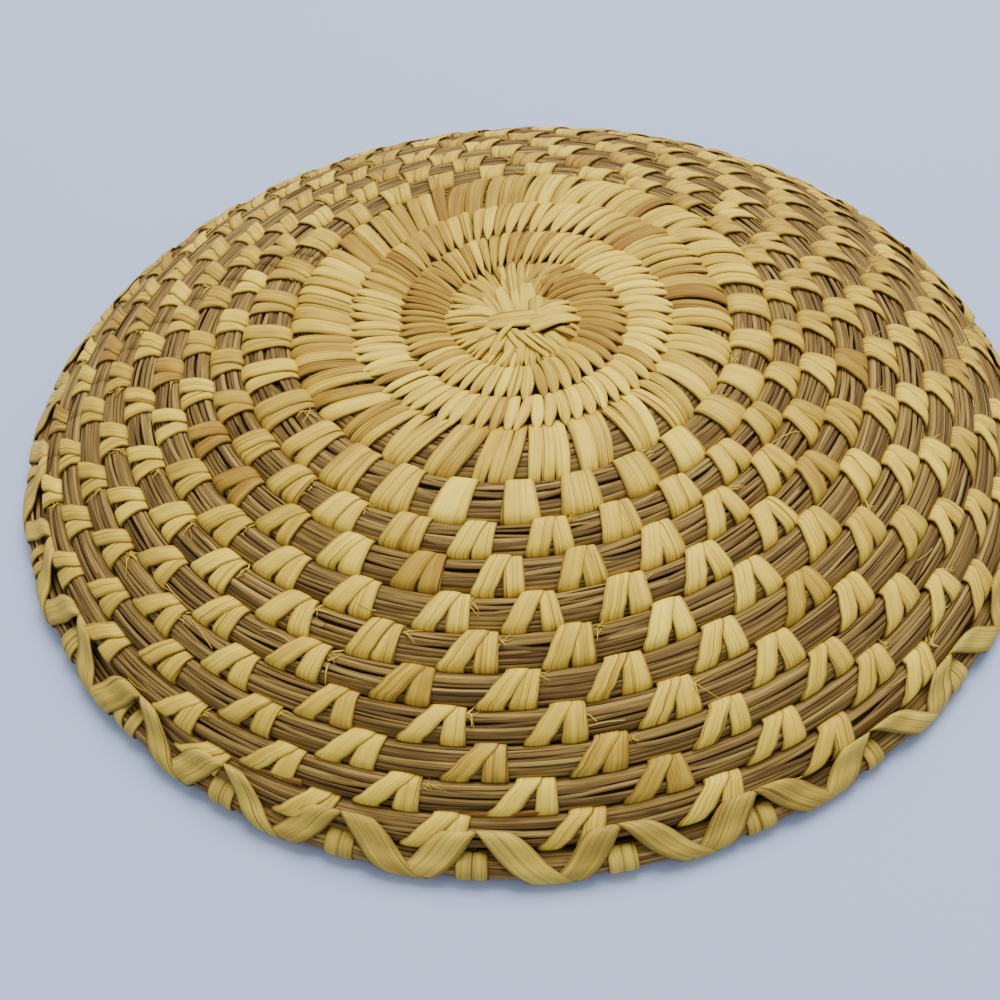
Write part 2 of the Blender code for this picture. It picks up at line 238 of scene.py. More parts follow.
RIM_STATIONS = ring_stations(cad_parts["rim_coil"])
RADIUS, HEIGHT, HALF_WIDTH = 1, 2, 3


def waves(turns):
    """1, and RIM_TERMS waves of cosine and of sine, at each of the turns."""
    angles = FULL_TURN * np.asarray(turns)[..., None] * np.arange(1, RIM_TERMS + 1)
    return np.concatenate([np.ones_like(angles[..., :1]), np.cos(angles), np.sin(angles)], axis=-1)


def ring_value(turns, column):
    """A column of the stations as a smooth closed curve: the least squares sum of the waves."""
    known = RIM_STATIONS[:, column]
    return waves(turns) @ np.linalg.lstsq(waves(RIM_STATIONS[:, 0]), known, rcond=None)[0]


def rim_point(turns, angle, lift=0.0):
    """Points lifted off the rim, an ellipse that stands RIM_FLOOR_ROOM above the floor."""
    turns, angle, lift = np.broadcast_arrays(turns, angle, lift)
    height = ring_value(turns, HEIGHT)
    out = (ring_value(turns, HALF_WIDTH) + lift) * np.cos(angle)
    rise = (height - RIM_FLOOR_ROOM + lift) * np.sin(angle)
    return place_at(ring_value(turns, RADIUS) + out, height + rise, turns)


print("rim radius", ring_value(np.array([0.0, 0.25, 0.5, 0.75]), RADIUS).round(4))

# %% [markdown]
# ## Turning arrays into meshes
# Stems and strips are both tubes: rings of points carried along a path. All the tubes of a piece
# are one array, strand by ring by corner, and the faces follow from the numbering alone, so no
# loop runs over the points. Three numbers go with every point for the materials: how far along
# the strand it is, how far across it, and the strand's own shade. A fourth says how near the
# strand's edge or hidden side it is, where the materials paint shade: the shadow between strands
# and under them, with some real dust on the strips' edges too.

# %% Meshes from arrays
def add_object(name, data):
    """An object for a mesh, lamp or camera, put in the scene."""
    thing = bpy.data.objects.new(name, data)
    bpy.context.scene.collection.objects.link(thing)
    return thing


def add_mesh(name, points, faces, fibre, edge, material):
    """A smooth mesh from points and groups of equal faces, with what its material reads."""
    mesh = bpy.data.meshes.new(name)
    mesh.vertices.add(len(points))
    mesh.vertices.foreach_set("co", points.astype(np.float32).ravel())
    sizes = np.concatenate([np.full(len(group), group.shape[1]) for group in faces])
    corners = np.concatenate([group.ravel() for group in faces])
    mesh.loops.add(len(corners))
    mesh.loops.foreach_set("vertex_index", corners.astype(np.int32))
    mesh.polygons.add(len(sizes))
    mesh.polygons.foreach_set("loop_start", (np.cumsum(sizes) - sizes).astype(np.int32))
    mesh.polygons.foreach_set("loop_total", sizes.astype(np.int32))
    mesh.update(calc_edges=True)
    mesh.polygons.foreach_set("use_smooth", np.ones(len(sizes), dtype=bool))
    layer = mesh.attributes.new("fibre", "FLOAT_VECTOR", "POINT")
    layer.data.foreach_set("vector", fibre.astype(np.float32).ravel())
    layer = mesh.attributes.new("edge", "FLOAT", "POINT")
    layer.data.foreach_set("value", edge.astype(np.float32).ravel())
    mesh.materials.append(material)
    return add_object(name, mesh)


def tube_faces(strands, rings, corners):
    """Quads between neighbouring rings and a flat cap at each end of every tube."""
    strand, ring, corner = np.meshgrid(np.arange(strands), np.arange(rings - 1), np.arange(corners),
                                       indexing="ij")
    here = (strand * rings + ring) * corners
    after = (corner + 1) % corners
    sides = np.stack([here + corner, here + after, here + corners + after, here + corners + corner],
                     axis=-1)
    start = np.arange(strands)[:, None] * rings * corners
    first = start + np.arange(corners)[None, ::-1]
    last = start + (rings - 1) * corners + np.arange(corners)[None]
    return [sides.reshape(-1, 4), first, last]


def add_tubes(name, points, along, across, shade, edge, material):
    """One piece from tubes: points is strand by ring by corner, the rest is for the material."""
    strands, rings, corners, _ = points.shape
    fibre = np.stack(np.broadcast_arrays(along, across, shade), axis=-1)
    fibre = np.broadcast_to(fibre, points.shape)
    edge = np.broadcast_to(edge, points.shape[:3])
    return add_mesh(name, points.reshape(-1, 3), tube_faces(strands, rings, corners),
                    fibre.reshape(-1, 3), edge, material)


print("faces of a tube with 3 rings of 6", sum(map(len, tube_faces(1, 3, 6))))

# %% [markdown]
# ## Grass and leaf
# Dried grass and bleached leaf are both long parallel fibres. Noise that is squeezed across the
# strand and stretched along it gives streaks, at two scales: fine fibres and broader bands.
# A second, slow noise and the strand's own shade move the colour between the photograph's tones.
# The same fine streaks drive the bump, so that colour and relief agree.

# %% Fibre materials
STREAKS_ALONG = dict(fibres=60.0, bands=25.0, blotches=70.0, hairlines=22.0, cracks=12.0)


def fibre_material(name, tones, fine, broad, roughness, relief, mottle, edge_range=(0.0, 1.0),
                   edge_shade=(1.0, 1.0, 1.0), lines=2200.0, line_shade=(0.54, 0.46, 0.34)):
    """Streaky plant fibre from (place, colour) tones; fine, broad and lines are streaks a metre.

    Over edge_range, of the way to the strand's edge, the colour goes to edge_shade times itself,
    which is painted shade at edges and hidden sides. On the dark lines it is line_shade times
    itself.
    """
    material = bpy.data.materials.new(name)
    material.use_nodes = True
    tree = material.node_tree
    shader = tree.nodes["Principled BSDF"]
    shader.inputs["Roughness"].default_value = roughness
    shader.inputs["Specular IOR Level"].default_value = 0.16

    def node(kind, values, sources, **settings):
        """A node with its settings made, values on some inputs and sources linked to others."""
        new = tree.nodes.new(kind)
        for setting, value in settings.items():
            setattr(new, setting, value)
        for socket, value in values.items():
            new.inputs[socket].default_value = value
        for socket, source in sources.items():
            tree.links.new(source, new.inputs[socket])
        return new

    def streaks(along, across, detail):
        """Noise with so many streaks to a metre along the strand and across it."""
        mapping = node("ShaderNodeMapping", {"Scale": (along, across, 7.0)}, {"Vector": place})
        noise = node("ShaderNodeTexNoise", {"Scale": 1.0, "Detail": detail, "Roughness": 0.6},
                     {"Vector": mapping.outputs["Vector"]})
        return noise.outputs["Fac"]

    def weighed(first, second, share):
        """A share of the second value and the rest of the first."""
        mix = node("ShaderNodeMix", {"Factor": share}, {"A": first, "B": second})
        return mix.outputs["Result"]

    def darkened(colour, amount, low, high, shade):
        """The colour, which becomes shade times itself as the amount goes from low to high."""
        reach = node("ShaderNodeMapRange", {"From Min": low, "From Max": high}, {"Value": amount})
        mix = node("ShaderNodeMix", {"B": (*shade, 1.0)},
                   {"Factor": reach.outputs["Result"], "A": colour},
                   data_type="RGBA", blend_type="MULTIPLY")
        return mix.outputs["Result"]

    place = node("ShaderNodeAttribute", {}, {}, attribute_name="fibre").outputs["Vector"]
    edge = node("ShaderNodeAttribute", {}, {}, attribute_name="edge").outputs["Fac"]
    parts = node("ShaderNodeSeparateXYZ", {}, {"Vector": place})
    fibres = streaks(STREAKS_ALONG["fibres"], fine, 3.0)
    bands = streaks(STREAKS_ALONG["bands"], broad, 2.0)
    blotches = streaks(STREAKS_ALONG["blotches"], 160.0, 2.0)
    hairlines = streaks(STREAKS_ALONG["hairlines"], lines, 1.0)
    cracks = streaks(STREAKS_ALONG["cracks"], broad * 1.7, 1.0)

    tone = weighed(weighed(fibres, bands, 0.5), blotches, mottle)
    ramp = node("ShaderNodeValToRGB", {}, {"Fac": weighed(tone, parts.outputs["Z"], 0.42)})
    elements = ramp.color_ramp.elements
    while len(elements) < len(tones):
        elements.new(0.5)
    for element, (spot, colour) in zip(elements, tones):
        element.position = spot
        element.color = (*colour, 1.0)

    lined = darkened(ramp.outputs["Color"], hairlines, 0.45, 0.36, line_shade)
    cracked = darkened(lined, cracks, 0.34, 0.30, (0.44, 0.37, 0.28))
    # Painted shade: towards each strand's edge and hidden side the colour darkens.
    tree.links.new(darkened(cracked, edge, *edge_range, edge_shade), shader.inputs["Base Color"])
    bump = node("ShaderNodeBump", {"Strength": relief, "Distance": 0.0004},
                {"Height": weighed(fibres, hairlines, 0.5)})
    tree.links.new(bump.outputs["Normal"], shader.inputs["Normal"])
    return material


print("streaks to a metre along a strand", STREAKS_ALONG)

# %% [markdown]
# ## The tray's own tones
# Each plant's colours are a ramp of a few tones, from the shade between its fibres to its
# brightest face. The lashing's leaf is greyer than the rest, so it is the same leaf with a tint.
# The core and the slits are nearly black, because they are seen only in gaps: their colour is
# painted shade.

# %% Materials of the tray
LEAF_TONES = [(0.30, (0.28, 0.146, 0.020)), (0.42, (0.495, 0.322, 0.036)),
              (0.53, (0.735, 0.515, 0.056)), (0.70, (0.945, 0.735, 0.092))]
PALE_TINT = (0.81, 0.84, 1.20)
PALE_TONES = [(spot, tuple(tint * part for tint, part in zip(PALE_TINT, colour)))
              for spot, colour in LEAF_TONES]
GRASS_TONES = [(0.26, (0.068, 0.036, 0.011)), (0.40, (0.136, 0.078, 0.019)),
               (0.52, (0.238, 0.149, 0.036)), (0.70, (0.41, 0.283, 0.077))]
# Painted shade: the core is coloured as the shade deep inside the bundle, and the slits as the
# shadow in the knot's gaps.
CORE_SHADE_TONES = [(0.30, (0.030, 0.013, 0.003)), (0.70, (0.085, 0.040, 0.008))]
RED_TONES = [(0.30, (0.13, 0.042, 0.008)), (0.70, (0.42, 0.19, 0.030))]
SLIT_SHADOW_TONES = [(0.30, (0.004, 0.002, 0.001)), (0.70, (0.02, 0.009, 0.003))]
# The leaf's edge_shade is partly painted shade in the gaps between strips, partly a little real
# dust at the leaf's edge.
LEAF_LOOK = dict(fine=2300.0, broad=700.0, roughness=0.62, relief=0.45, mottle=0.35,
                 edge_range=(0.78, 1.0), edge_shade=(0.46, 0.41, 0.42), lines=3100.0,
                 line_shade=(0.62, 0.56, 0.52))
GRASS_STREAKS = dict(fine=2600.0, broad=900.0)
leaf = fibre_material("leaf_strip", LEAF_TONES, **LEAF_LOOK)
pale_leaf = fibre_material("pale_leaf", PALE_TONES, **LEAF_LOOK)
# The grass's and the reddish stems' edge_shade is painted shade: it darkens each stem's hidden
# side, so the gaps between stems look dark.
grass = fibre_material("split_grass", GRASS_TONES, **GRASS_STREAKS, roughness=0.62, relief=0.6,
                       mottle=0.25, edge_range=(0.22, 0.50), edge_shade=(0.12, 0.075, 0.03))
reddish = fibre_material("reddish_grass", RED_TONES, **GRASS_STREAKS, roughness=0.55, relief=0.6,
                         mottle=0.25, edge_range=(0.5, 1.0), edge_shade=(0.35, 0.26, 0.16))
core_dark = fibre_material("shaded_grass", CORE_SHADE_TONES, **GRASS_STREAKS, roughness=0.9, relief=0.5,
                           mottle=0.3)
slit_shadow = fibre_material("deep_shade", SLIT_SHADOW_TONES, **GRASS_STREAKS, roughness=1.0, relief=0.2,
                           mottle=0.3)
print("materials", [material.name for material in bpy.data.materials])

# %% [markdown]
# ## Tubes along paths
# A stem or a hair is a path with a thickness. At each point of the path the tube has a flattened
# ring of corners, square to the way that the path goes and level with the surface below it. A
# slow drift, made of sine waves, is what keeps one stem from being the copy of the next.

# %% Tubes and drift
STEM_SIDES = 6
STEM_CORNER = FULL_TURN * np.arange(STEM_SIDES) / STEM_SIDES
# How hidden each corner is, 0 on top and 1 underneath: the materials paint shade by it on the
# hidden side of stems and hairs.
HIDDEN_SIDE = 0.5 - 0.5 * np.sin(STEM_CORNER)


def drift(turns, wander, seed):
    """Slow random wander of each strand: size times the mean of three sine waves, times 1.6."""
    often, size = wander
    draw = np.random.default_rng(seed)
    rate = draw.uniform(0.6, 1.6, (len(turns), 1, 3)) * often
    phase = draw.uniform(0.0, FULL_TURN, (len(turns), 1, 3))
    return np.sin(FULL_TURN * rate * turns[..., None] + phase).mean(axis=-1) * 1.6 * size


def unit(vectors):
    """The vectors at length 1."""
    return vectors / np.linalg.norm(vectors, axis=-1, keepdims=True)


def path_run(path):
    """Distance so far along each path, strand by ring."""
    return running_sum(np.linalg.norm(np.diff(path, axis=-2), axis=-1))


def flat_tubes(path, out, thick, flatness):
    """Tubes along paths, strand by ring: a ring is thick (cos, flatness sin) sideways and out."""
    out = unit(out)
    side = np.cross(unit(np.gradient(path, axis=1)), out)
    ring = (np.cos(STEM_CORNER)[:, None] * side[:, :, None]
            + flatness * np.sin(STEM_CORNER)[:, None] * out[:, :, None])
    return path[:, :, None] + thick[:, :, None, None] * ring, path_run(path)[:, :, None]


print("corners of a stem", STEM_SIDES, "hidden side", HIDDEN_SIDE.round(2))

# %% [markdown]
# ## The grass bundle
# Two dozen stems lie round the coil, each a six-sided tube with its own thickness and tone, and
# each wanders a little, so that neighbours close up, part and cross as real split grass does.
# Inside them a dark core stops the light. A tube for each stem costs no more points than a
# grooved bar and gives stems that truly pass over each other.

# %% Stems of the coil
STEMS = 24
STEM_WIDTH = 0.00078
STEM_FLATNESS = 0.75
STEM_TONE = 0.51
TONE_SPREAD = 0.19
SIDE_WANDER = (9.0, 0.075)  # waves to a turn, size
GIRTH_WANDER = (4.0, 0.20)
LIFT_WANDER = (12.0, 0.0002)
TONE_WANDER = (5.0, 0.18)
USUAL_WIDTH = 0.0094
STREAK_RADIUS = 0.12
NOISE_STEP = 0.31
CORE_SIDES = 12
CORE_DEPTH = 0.0011


def even_angles(point_at, turn, count):
    """Angles round the section at equal distances along its outline."""
    fine = np.linspace(0.0, FULL_TURN, 361)
    outline = path_run(point_at(np.full_like(fine, turn), fine))
    return np.interp((np.arange(count) + 0.5) / count * outline[-1], outline, fine)[:, None]


def stem_tubes(point_at, turns, seed, stems, radius):
    """Flat tubes side by side round the coil's or rim's surface, each wandering a little."""
    lines = np.broadcast_to(turns, (stems, len(turns)))
    angle = even_angles(point_at, turns[len(turns) // 2], stems) + drift(lines, SIDE_WANDER, seed)
    girth = np.linalg.norm(point_at(turns, 0.0) - point_at(turns, math.pi), axis=-1) / USUAL_WIDTH
    thick = radius * np.clip(girth, 1.0, 1.7) ** 0.8 * (1.0 + drift(lines, GIRTH_WANDER, seed + 1))
    path = point_at(lines, angle, -thick * STEM_FLATNESS + drift(lines, LIFT_WANDER, seed + 2))
    out = point_at(lines, angle, 0.002) - point_at(lines, angle, -0.001)
    return flat_tubes(path, out, thick, STEM_FLATNESS)[0]


def stem_shade(turns, stems, seed, tone):
    """Each stem's tone, which drifts along it as one split leaf gives way to the next."""
    lines = np.broadcast_to(turns, (stems, len(turns)))
    own = np.random.default_rng(seed).uniform(tone - TONE_SPREAD, tone + TONE_SPREAD, (stems, 1))
    return np.clip(own + drift(lines, TONE_WANDER, seed + 3), 0.0, 1.0)[:, :, None]


def add_core(name, point_at, turns, depth):
    """A dark tube inside the stems."""
    angle = FULL_TURN * np.arange(CORE_SIDES) / CORE_SIDES
    points = point_at(turns[:, None], angle[None], -depth)[None]
    return add_tubes(name, points, turns[None, :, None], angle, 0.5, 1.0, core_dark)


def add_stems(name, point_at, turns, seed, stems, tone):
    """The stems of a bundle; the noise runs on along the coil, NOISE_STEP apart for each stem."""
    points = stem_tubes(point_at, turns, seed, stems, STEM_WIDTH)
    along = FULL_TURN * STREAK_RADIUS * turns[None, :, None]
    own_row = STEM_CORNER * STEM_WIDTH + NOISE_STEP * np.arange(stems)[:, None, None]
    shade = stem_shade(turns, stems, seed, tone)
    return add_tubes(name, points, along, own_row, shade, HIDDEN_SIDE, grass)


print("stems in the coil", STEMS, "and", round(STEM_WIDTH * 2000.0, 2), "mm wide")

# %% [markdown]
# ## Round by round
# The real bundle is continuous, but the solid model has a part for each round, so each round is a
# piece that stands for its own part. The closed middle hides its stems, so the first rounds have
# only their core. The rings of a tube are spaced by the stitches, so that each pinch is caught.

# %% The coil's rounds
RINGS_PER_STITCH = 6
CORE_RINGS_PER_STITCH = 3
ALL_ROUNDS = range(1, 15)
STEM_ROUNDS = range(4, 15)
OPEN_ROUNDS = range(5, 15)


def round_turns(number, rings_per_stitch):
    """Evenly spaced turns along one round of the coil."""
    first = (number - 1) * STITCHES_PER_ROUND
    count = min(STITCHES_PER_ROUND, round((COIL_END - COIL_START) / STITCH_STEP) - first)
    places = first + np.linspace(0.0, count, count * rings_per_stitch + 1)
    return COIL_START + STITCH_STEP * places


def dress(piece, slot, *nodes):
    """Gives a piece to the tray's one body and hides the solids it stands for; slot is not used."""
    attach(piece, "root")
    if nodes:
        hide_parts(*nodes)


for number in ALL_ROUNDS:
    turns = round_turns(number, CORE_RINGS_PER_STITCH)
    core = add_core(f"coil_core_{number:02d}", coil_point, turns, CORE_DEPTH)
    dress(core, "split_grass", f"grass_coil_{number:02d}")
for number in STEM_ROUNDS:
    turns = round_turns(number, RINGS_PER_STITCH)
    stems = add_stems(f"coil_stems_{number:02d}", coil_point, turns, 11, STEMS, STEM_TONE)
    dress(stems, "split_grass", f"grass_coil_{number:02d}")
print("stem faces in a round", len(stems.data.polygons))

# %% [markdown]
# ## A strip of leaf
# A stitch is a flat strip that comes up between two rounds, goes over the coil and down its outer
# side, and comes back underneath. Here it is a thin tube of seven corners, five over its crowned
# top and two below. Its middle line and its width change along it: share is 0 at the inner side
# and 1 at the outer edge. Width and shift are real lengths along the coil, turned into turns by
# the radius there.

# %% Strips round the coil
STRIP_ACROSS = np.array([-1.0, -0.5, 0.0, 0.5, 1.0, 1.0, -1.0])
STRIP_ON_TOP = np.array([1.0, 1.0, 1.0, 1.0, 1.0, 0.0, 0.0])
MIDDLE_CORNER = 2
STRIP_THICKNESS = 0.00045
WRAP_RINGS = 19


def strip_section(crown):
    """Heights of a strip's corners: thickness + crown (1 - v^2) on top and 0 below."""
    return STRIP_ON_TOP * (STRIP_THICKNESS + crown * (1.0 - STRIP_ACROSS ** 2))


def strip_tubes(point_at, radius_at, turns, angle, shift, width, lift, crown):
    """Strips as tubes. turns is one value a strip, angle is strip by ring, and the rest fit it.

    A corner v across the strip is at turns + (shift + v width / 2) / (2 pi radius), lifted by
    lift + thickness + crown (1 - v^2) on top and by lift below.
    """
    turns = np.asarray(turns)[:, None, None]
    shift, width, lift, crown = (np.broadcast_to(value, angle.shape)[:, :, None]
                                 for value in (shift, width, lift, crown))
    across = STRIP_ACROSS * width / 2.0
    place = turns + (shift + across) / (FULL_TURN * radius_at(turns))
    points = point_at(place, angle[:, :, None], lift + strip_section(crown))
    return points, path_run(points[:, :, MIDDLE_CORNER])[:, :, None], across


def along_rings(count, first, last, rings=WRAP_RINGS):
    """Even steps from first to last along the rings, the same for each of count strips."""
    return np.broadcast_to(np.linspace(first, last, rings), (count, rings))


def add_strips(name, groups, material, seed):
    """One piece from groups of strips and shades, each strip with its own stretch of noise."""
    draw = np.random.default_rng(seed)
    points, run, across = (np.concatenate([strips[part] for strips, _ in groups])
                           for part in range(3))
    shade = np.concatenate([shades for _, shades in groups])[:, None, None]
    own = draw.uniform(0.0, 30.0, (2, len(points), 1, 1))
    return add_tubes(name, points, run + own[0], across + own[1], shade, np.abs(STRIP_ACROSS),
                     material)


print("corners of a strip", len(STRIP_ACROSS), "rings", WRAP_RINGS)

# %% [markdown]
# ## The shade of each leaf
# No two leaves are bleached alike. Most strips differ by chance, a few are brown, and in the
# closed middle whole stretches were sewn with a browner or a paler bunch. Those stretches are a
# table, each a soft hill along the coil. Strips away from the front and on the wall are darker
# too, which is painted shade for the light that reaches them less.

# %% Shades of leaf
LEAF_SHADE = 0.59
SHADE_SPREAD = 0.12
BROWN_SHARE = 0.09
BROWN_IN_MIDDLE = -0.30
BROWN_ON_WALL = -0.20
AWAY_PAINTED_SHADE = -0.13
WALL_PAINTED_SHADE = -0.06
WALL_FROM = 5.0
PATCHES = np.array([  # turns, half length in turns, shade
    (1.00, 0.30, 0.08), (1.68, 0.10, -0.42), (1.86, 0.08, -0.15), (2.30, 0.10, -0.50),
    (2.50, 0.08, -0.16), (2.76, 0.15, 0.32), (3.20, 0.18, 0.18), (3.38, 0.05, -0.25),
    (4.18, 0.10, -0.20), (4.45, 0.07, -0.16)])


def leaf_shades(turns, seed):
    """A shade for each strip, 0 brown and 1 cream: chance, brown leaves, and the tray's patches.

    Strips are darker away from the front, by AWAY_PAINTED_SHADE (1 - cos(2 pi turns)) where the cosine is
    above 0, and a little darker on the wall.
    """
    draw = np.random.default_rng(seed)
    middle, half, shade = PATCHES.T
    patch = (shade * np.exp(-((turns[:, None] - middle) / half) ** 2)).sum(axis=1)
    brown = np.where(turns < WALL_FROM, BROWN_IN_MIDDLE, BROWN_ON_WALL)
    brown = brown * (draw.uniform(size=len(turns)) < BROWN_SHARE)
    # Painted shade: strips away from the front and on the wall are darkened for the light that
    # falls less on them.
    away = AWAY_PAINTED_SHADE * (1.0 - np.clip(np.cos(FULL_TURN * turns), 0.0, 1.0))
    wall = WALL_PAINTED_SHADE * smooth((turns - WALL_FROM) / 1.5)
    chance = draw.normal(0.0, SHADE_SPREAD, len(turns))
    return np.clip(LEAF_SHADE + patch + brown + away + wall + chance, 0.1, 1.0)


print("shades at the front of rounds 1 to 4", leaf_shades(np.arange(1.0, 5.0), 1).round(2))

# %% [markdown]
# ## A leg of a stitch
# On the wall each stitch is pierced by the stitch of the next round, which splits it into two
# legs. A leg is one strip round the coil whose place and width change from its top to its foot.
# A shift and a width at each end say all of it, with a little chance in each.

# %% Leg of a stitch
TUCK = math.radians(168.0)
TOP_CHANCE = 0.0003
FOOT_CHANCE = 0.0006
STITCH_LIFT = 0.00012
LIFT_CHANCE = 0.0001
STITCH_CROWN = 0.00022
LAST_STITCH = 14.11


def stitch_turns(number):
    """Turns at the middle of each of a round's open stitches."""
    first = (number - 1) * STITCHES_PER_ROUND
    turns = COIL_START + STITCH_STEP * (first + np.arange(STITCHES_PER_ROUND) + 0.5)
    return turns[(turns > OPEN_FROM) & (turns < LAST_STITCH)]


def leg(turns, top, foot, over, seed):
    """One leg of each stitch, from its top (shift, width) to its foot's, lifted by over at the top.

    Both go with share = (1 + cos angle) / 2, which is made a little steeper.
    """
    uneven = np.random.default_rng(seed).normal(0.0, 1.0, (6, len(turns), 1))
    angle = along_rings(len(turns), TUCK, -TUCK)
    share = smooth((1.0 + np.cos(angle)) / 2.0 * 1.15 - 0.08)
    top_shift = top[0] + TOP_CHANCE * uneven[0]
    foot_shift = foot[0] + FOOT_CHANCE * uneven[1]
    shift = top_shift + (foot_shift - top_shift) * share
    width = (top[1] * (1.0 + 0.05 * uneven[2]) * (1.0 - share)
             + foot[1] * (1.0 + 0.07 * uneven[3]) * share)
    lift = STITCH_LIFT + over * (1.0 - share) + LIFT_CHANCE * np.abs(uneven[4])
    crown = STITCH_CROWN * (1.0 + 0.3 * uneven[5])
    return strip_tubes(coil_point, coil_radius, turns, angle, shift, width, lift, crown)


print("open stitches in rounds 5 and 6", [len(stitch_turns(number)) for number in (5, 6)])

# %% [markdown]
# ## The split stitches of the wall
# The near leg stays square to the coil, and the far leg slants off with the winding. At the top
# the far leg lies over the near one, and further out on the tray the legs part more widely. The
# first few stitches are still whole. In the last round the near feet move aside, under the rim's
# lashing.

# %% Split stitches
TOP_WIDTH = 0.0092
NEAR_TOP = (-0.0021, 0.0050)  # shift, width
FAR_TOP = (0.0014, 0.0064)
FAR_OVER = 0.0004
FAR_SHADE = 0.03
WHOLE_TOP = (0.0, TOP_WIDTH)
WHOLE_FOOT = (0.0010, 0.0104)
NEAR_FOOT = (0.0032, 0.20)  # width = first + second x total
FAR_FOOT = (0.0034, 0.21)
STITCH_CHANCE = 0.0006
SINGLE_UNTIL = 5.05
FOOT_TOTAL = np.array([(5.0, 0.0108), (7.0, 0.0134), (10.0, 0.0158), (14.0, 0.0178)])
LAST_FEET_FROM = 13.02
LAST_FEET_ASIDE = 0.0018


def split_stitches(number):
    """A round's stitches and shades: whole near the flat middle, split in two legs further out."""
    turns = stitch_turns(number)
    turns = turns + np.random.default_rng(100 + number).normal(0.0, STITCH_CHANCE, len(turns))
    shades = leaf_shades(turns, 150 + number)
    whole = turns < SINGLE_UNTIL
    split = turns[~whole]
    total = np.interp(split, *FOOT_TOTAL.T)[:, None]
    near, far = (first + second * total for first, second in (NEAR_FOOT, FAR_FOOT))
    aside = LAST_FEET_ASIDE * smooth((split[:, None] - LAST_FEET_FROM) / 0.05)
    near_foot = (-TOP_WIDTH / 2.0 + near / 2.0 + aside, near)
    far_foot = (-TOP_WIDTH / 2.0 + total - far / 2.0, far)
    groups = [(leg(split, NEAR_TOP, near_foot, 0.0, 300 + number), shades[~whole]),
              (leg(split, FAR_TOP, far_foot, FAR_OVER, 400 + number), shades[~whole] + FAR_SHADE)]
    if whole.any():
        groups.append((leg(turns[whole], WHOLE_TOP, WHOLE_FOOT, 0.0, 200 + number), shades[whole]))
    return groups


for number in OPEN_ROUNDS:
    stitches = add_strips(f"stitches_{number:02d}", split_stitches(number), leaf, 500 + number)
    dress(stitches, "leaf_strip", f"split_sewing_{number:02d}")
print("faces in a round of stitches", len(stitches.data.polygons))

# %% [markdown]
# ## The closed sewing of the middle
# Over the flat middle the strips lie side by side and hide the grass. Each looks like a petal:
# crowned, widest over the coil's top, and pointed at the end that laps over its neighbours. That
# is the outer end, but across the back it is the inner one. The petals lean the way that the coil
# winds, and towards the wall they draw together at their feet, three or two to a stitch, like the
# ribs of a fan.

# %% Closed strips
PETALS_PER_TURN = np.array([(1.5, 46.0), (2.0, 56.0), (2.5, 68.0), (3.0, 74.0), (3.7, 76.0)])
PETALS_FROM = 1.56
FANS_FROM = 3.66
FAN_SIZES = (3, 3, 2)
CLOSED_ROUNDS = range(1, 6)


def spaced(first, last, points, per_turn):
    """Turns of the strips from first to last, as many to a turn as the table per_turn says."""
    fine = np.linspace(first, last, points)
    count = running_sum(np.diff(fine) * np.interp(fine[1:], *per_turn.T))
    return np.interp(np.arange(int(count[-1])) + 0.5, count, fine)


def petal_places():
    """Turns, pitch in turns, and place in its fan of every closed strip; a fan is a stitch wide."""
    turns = spaced(PETALS_FROM, FANS_FROM, 4000, PETALS_PER_TURN)
    pitch = 1.0 / np.interp(turns, *PETALS_PER_TURN.T)
    singles = np.stack([turns, pitch, 0.0 * turns], axis=1)
    middles = COIL_START + STITCH_STEP * (np.arange(len(CLOSED_ROUNDS) * STITCHES_PER_ROUND) + 0.5)
    middles = middles[(middles > FANS_FROM) & (middles < OPEN_FROM)]
    fans = [(middle + STITCH_STEP * place, STITCH_STEP / size, place)
            for middle, size in zip(middles, np.resize(FAN_SIZES, len(middles)))
            for place in (np.arange(size) + 0.5) / size - 0.5]
    return np.concatenate([singles, fans])


all_petals = petal_places()
print("closed strips", len(all_petals))

# %% [markdown]
# ## The section under the petals
# A petal can't use the coil's own section, which is too round: its ends would dive between the
# rounds. So it has a flatter section that reaches over the next round at the lapping end. Among
# the fans the outer end goes back to the coil's own section, because there the wall begins.

# %% Section of the petals
LAPPING_REACH = 0.12
HIDDEN_REACH = 0.40
LAPPING_FALL = 0.28
HIDDEN_FALL = 0.33


def fan_side(turns):
    """0 among the single petals and 1 among the fans."""
    return smooth((turns - FANS_FROM) / 0.1)


def lapping_end(turns, angle):
    """1 at the end on top and 0 at the other: (1 + cos angle) / 2, or the rest at the back."""
    outer = 0.5 + 0.5 * np.cos(angle)
    back = smooth((-np.cos(FULL_TURN * turns) - 0.42) / 0.34) * (1.0 - fan_side(turns))
    return outer + (1.0 - 2.0 * outer) * back


def petal_point(turns, angle, lift=0.0):
    """Points on the closed sewing, which is flatter than the coil and laps over the next round.

    On top, across = half width cos (1 + reach), and up = thickness (1 - fall |across / half|^2.4).
    """
    turns, angle, lift = np.broadcast_arrays(turns, angle, lift)
    reach, half, thick = coil_size(turns)
    cosine, sine = np.cos(angle), np.sin(angle)
    outer = smooth(0.5 + 0.5 * cosine)
    lapping = smooth(lapping_end(turns, angle))
    fall = HIDDEN_FALL + (LAPPING_FALL - HIDDEN_FALL) * lapping
    over = sine > -0.01
    longer = np.where(over, 1.0 + HIDDEN_REACH + (LAPPING_REACH - HIDDEN_REACH) * lapping, 1.0)
    top = thick * (1.0 - fall * np.abs(cosine * longer) ** 2.4) + lift
    tile = on_face(reach, turns, half * cosine * longer, np.where(over, top, (thick + lift) * sine))
    fan = fan_side(turns)[..., None] * outer[..., None]
    return tile + (coil_point(turns, angle, lift) - tile) * fan


print("outer end on top at the front", lapping_end(2.0, 0.0), "at the back", lapping_end(2.5, 0.0))

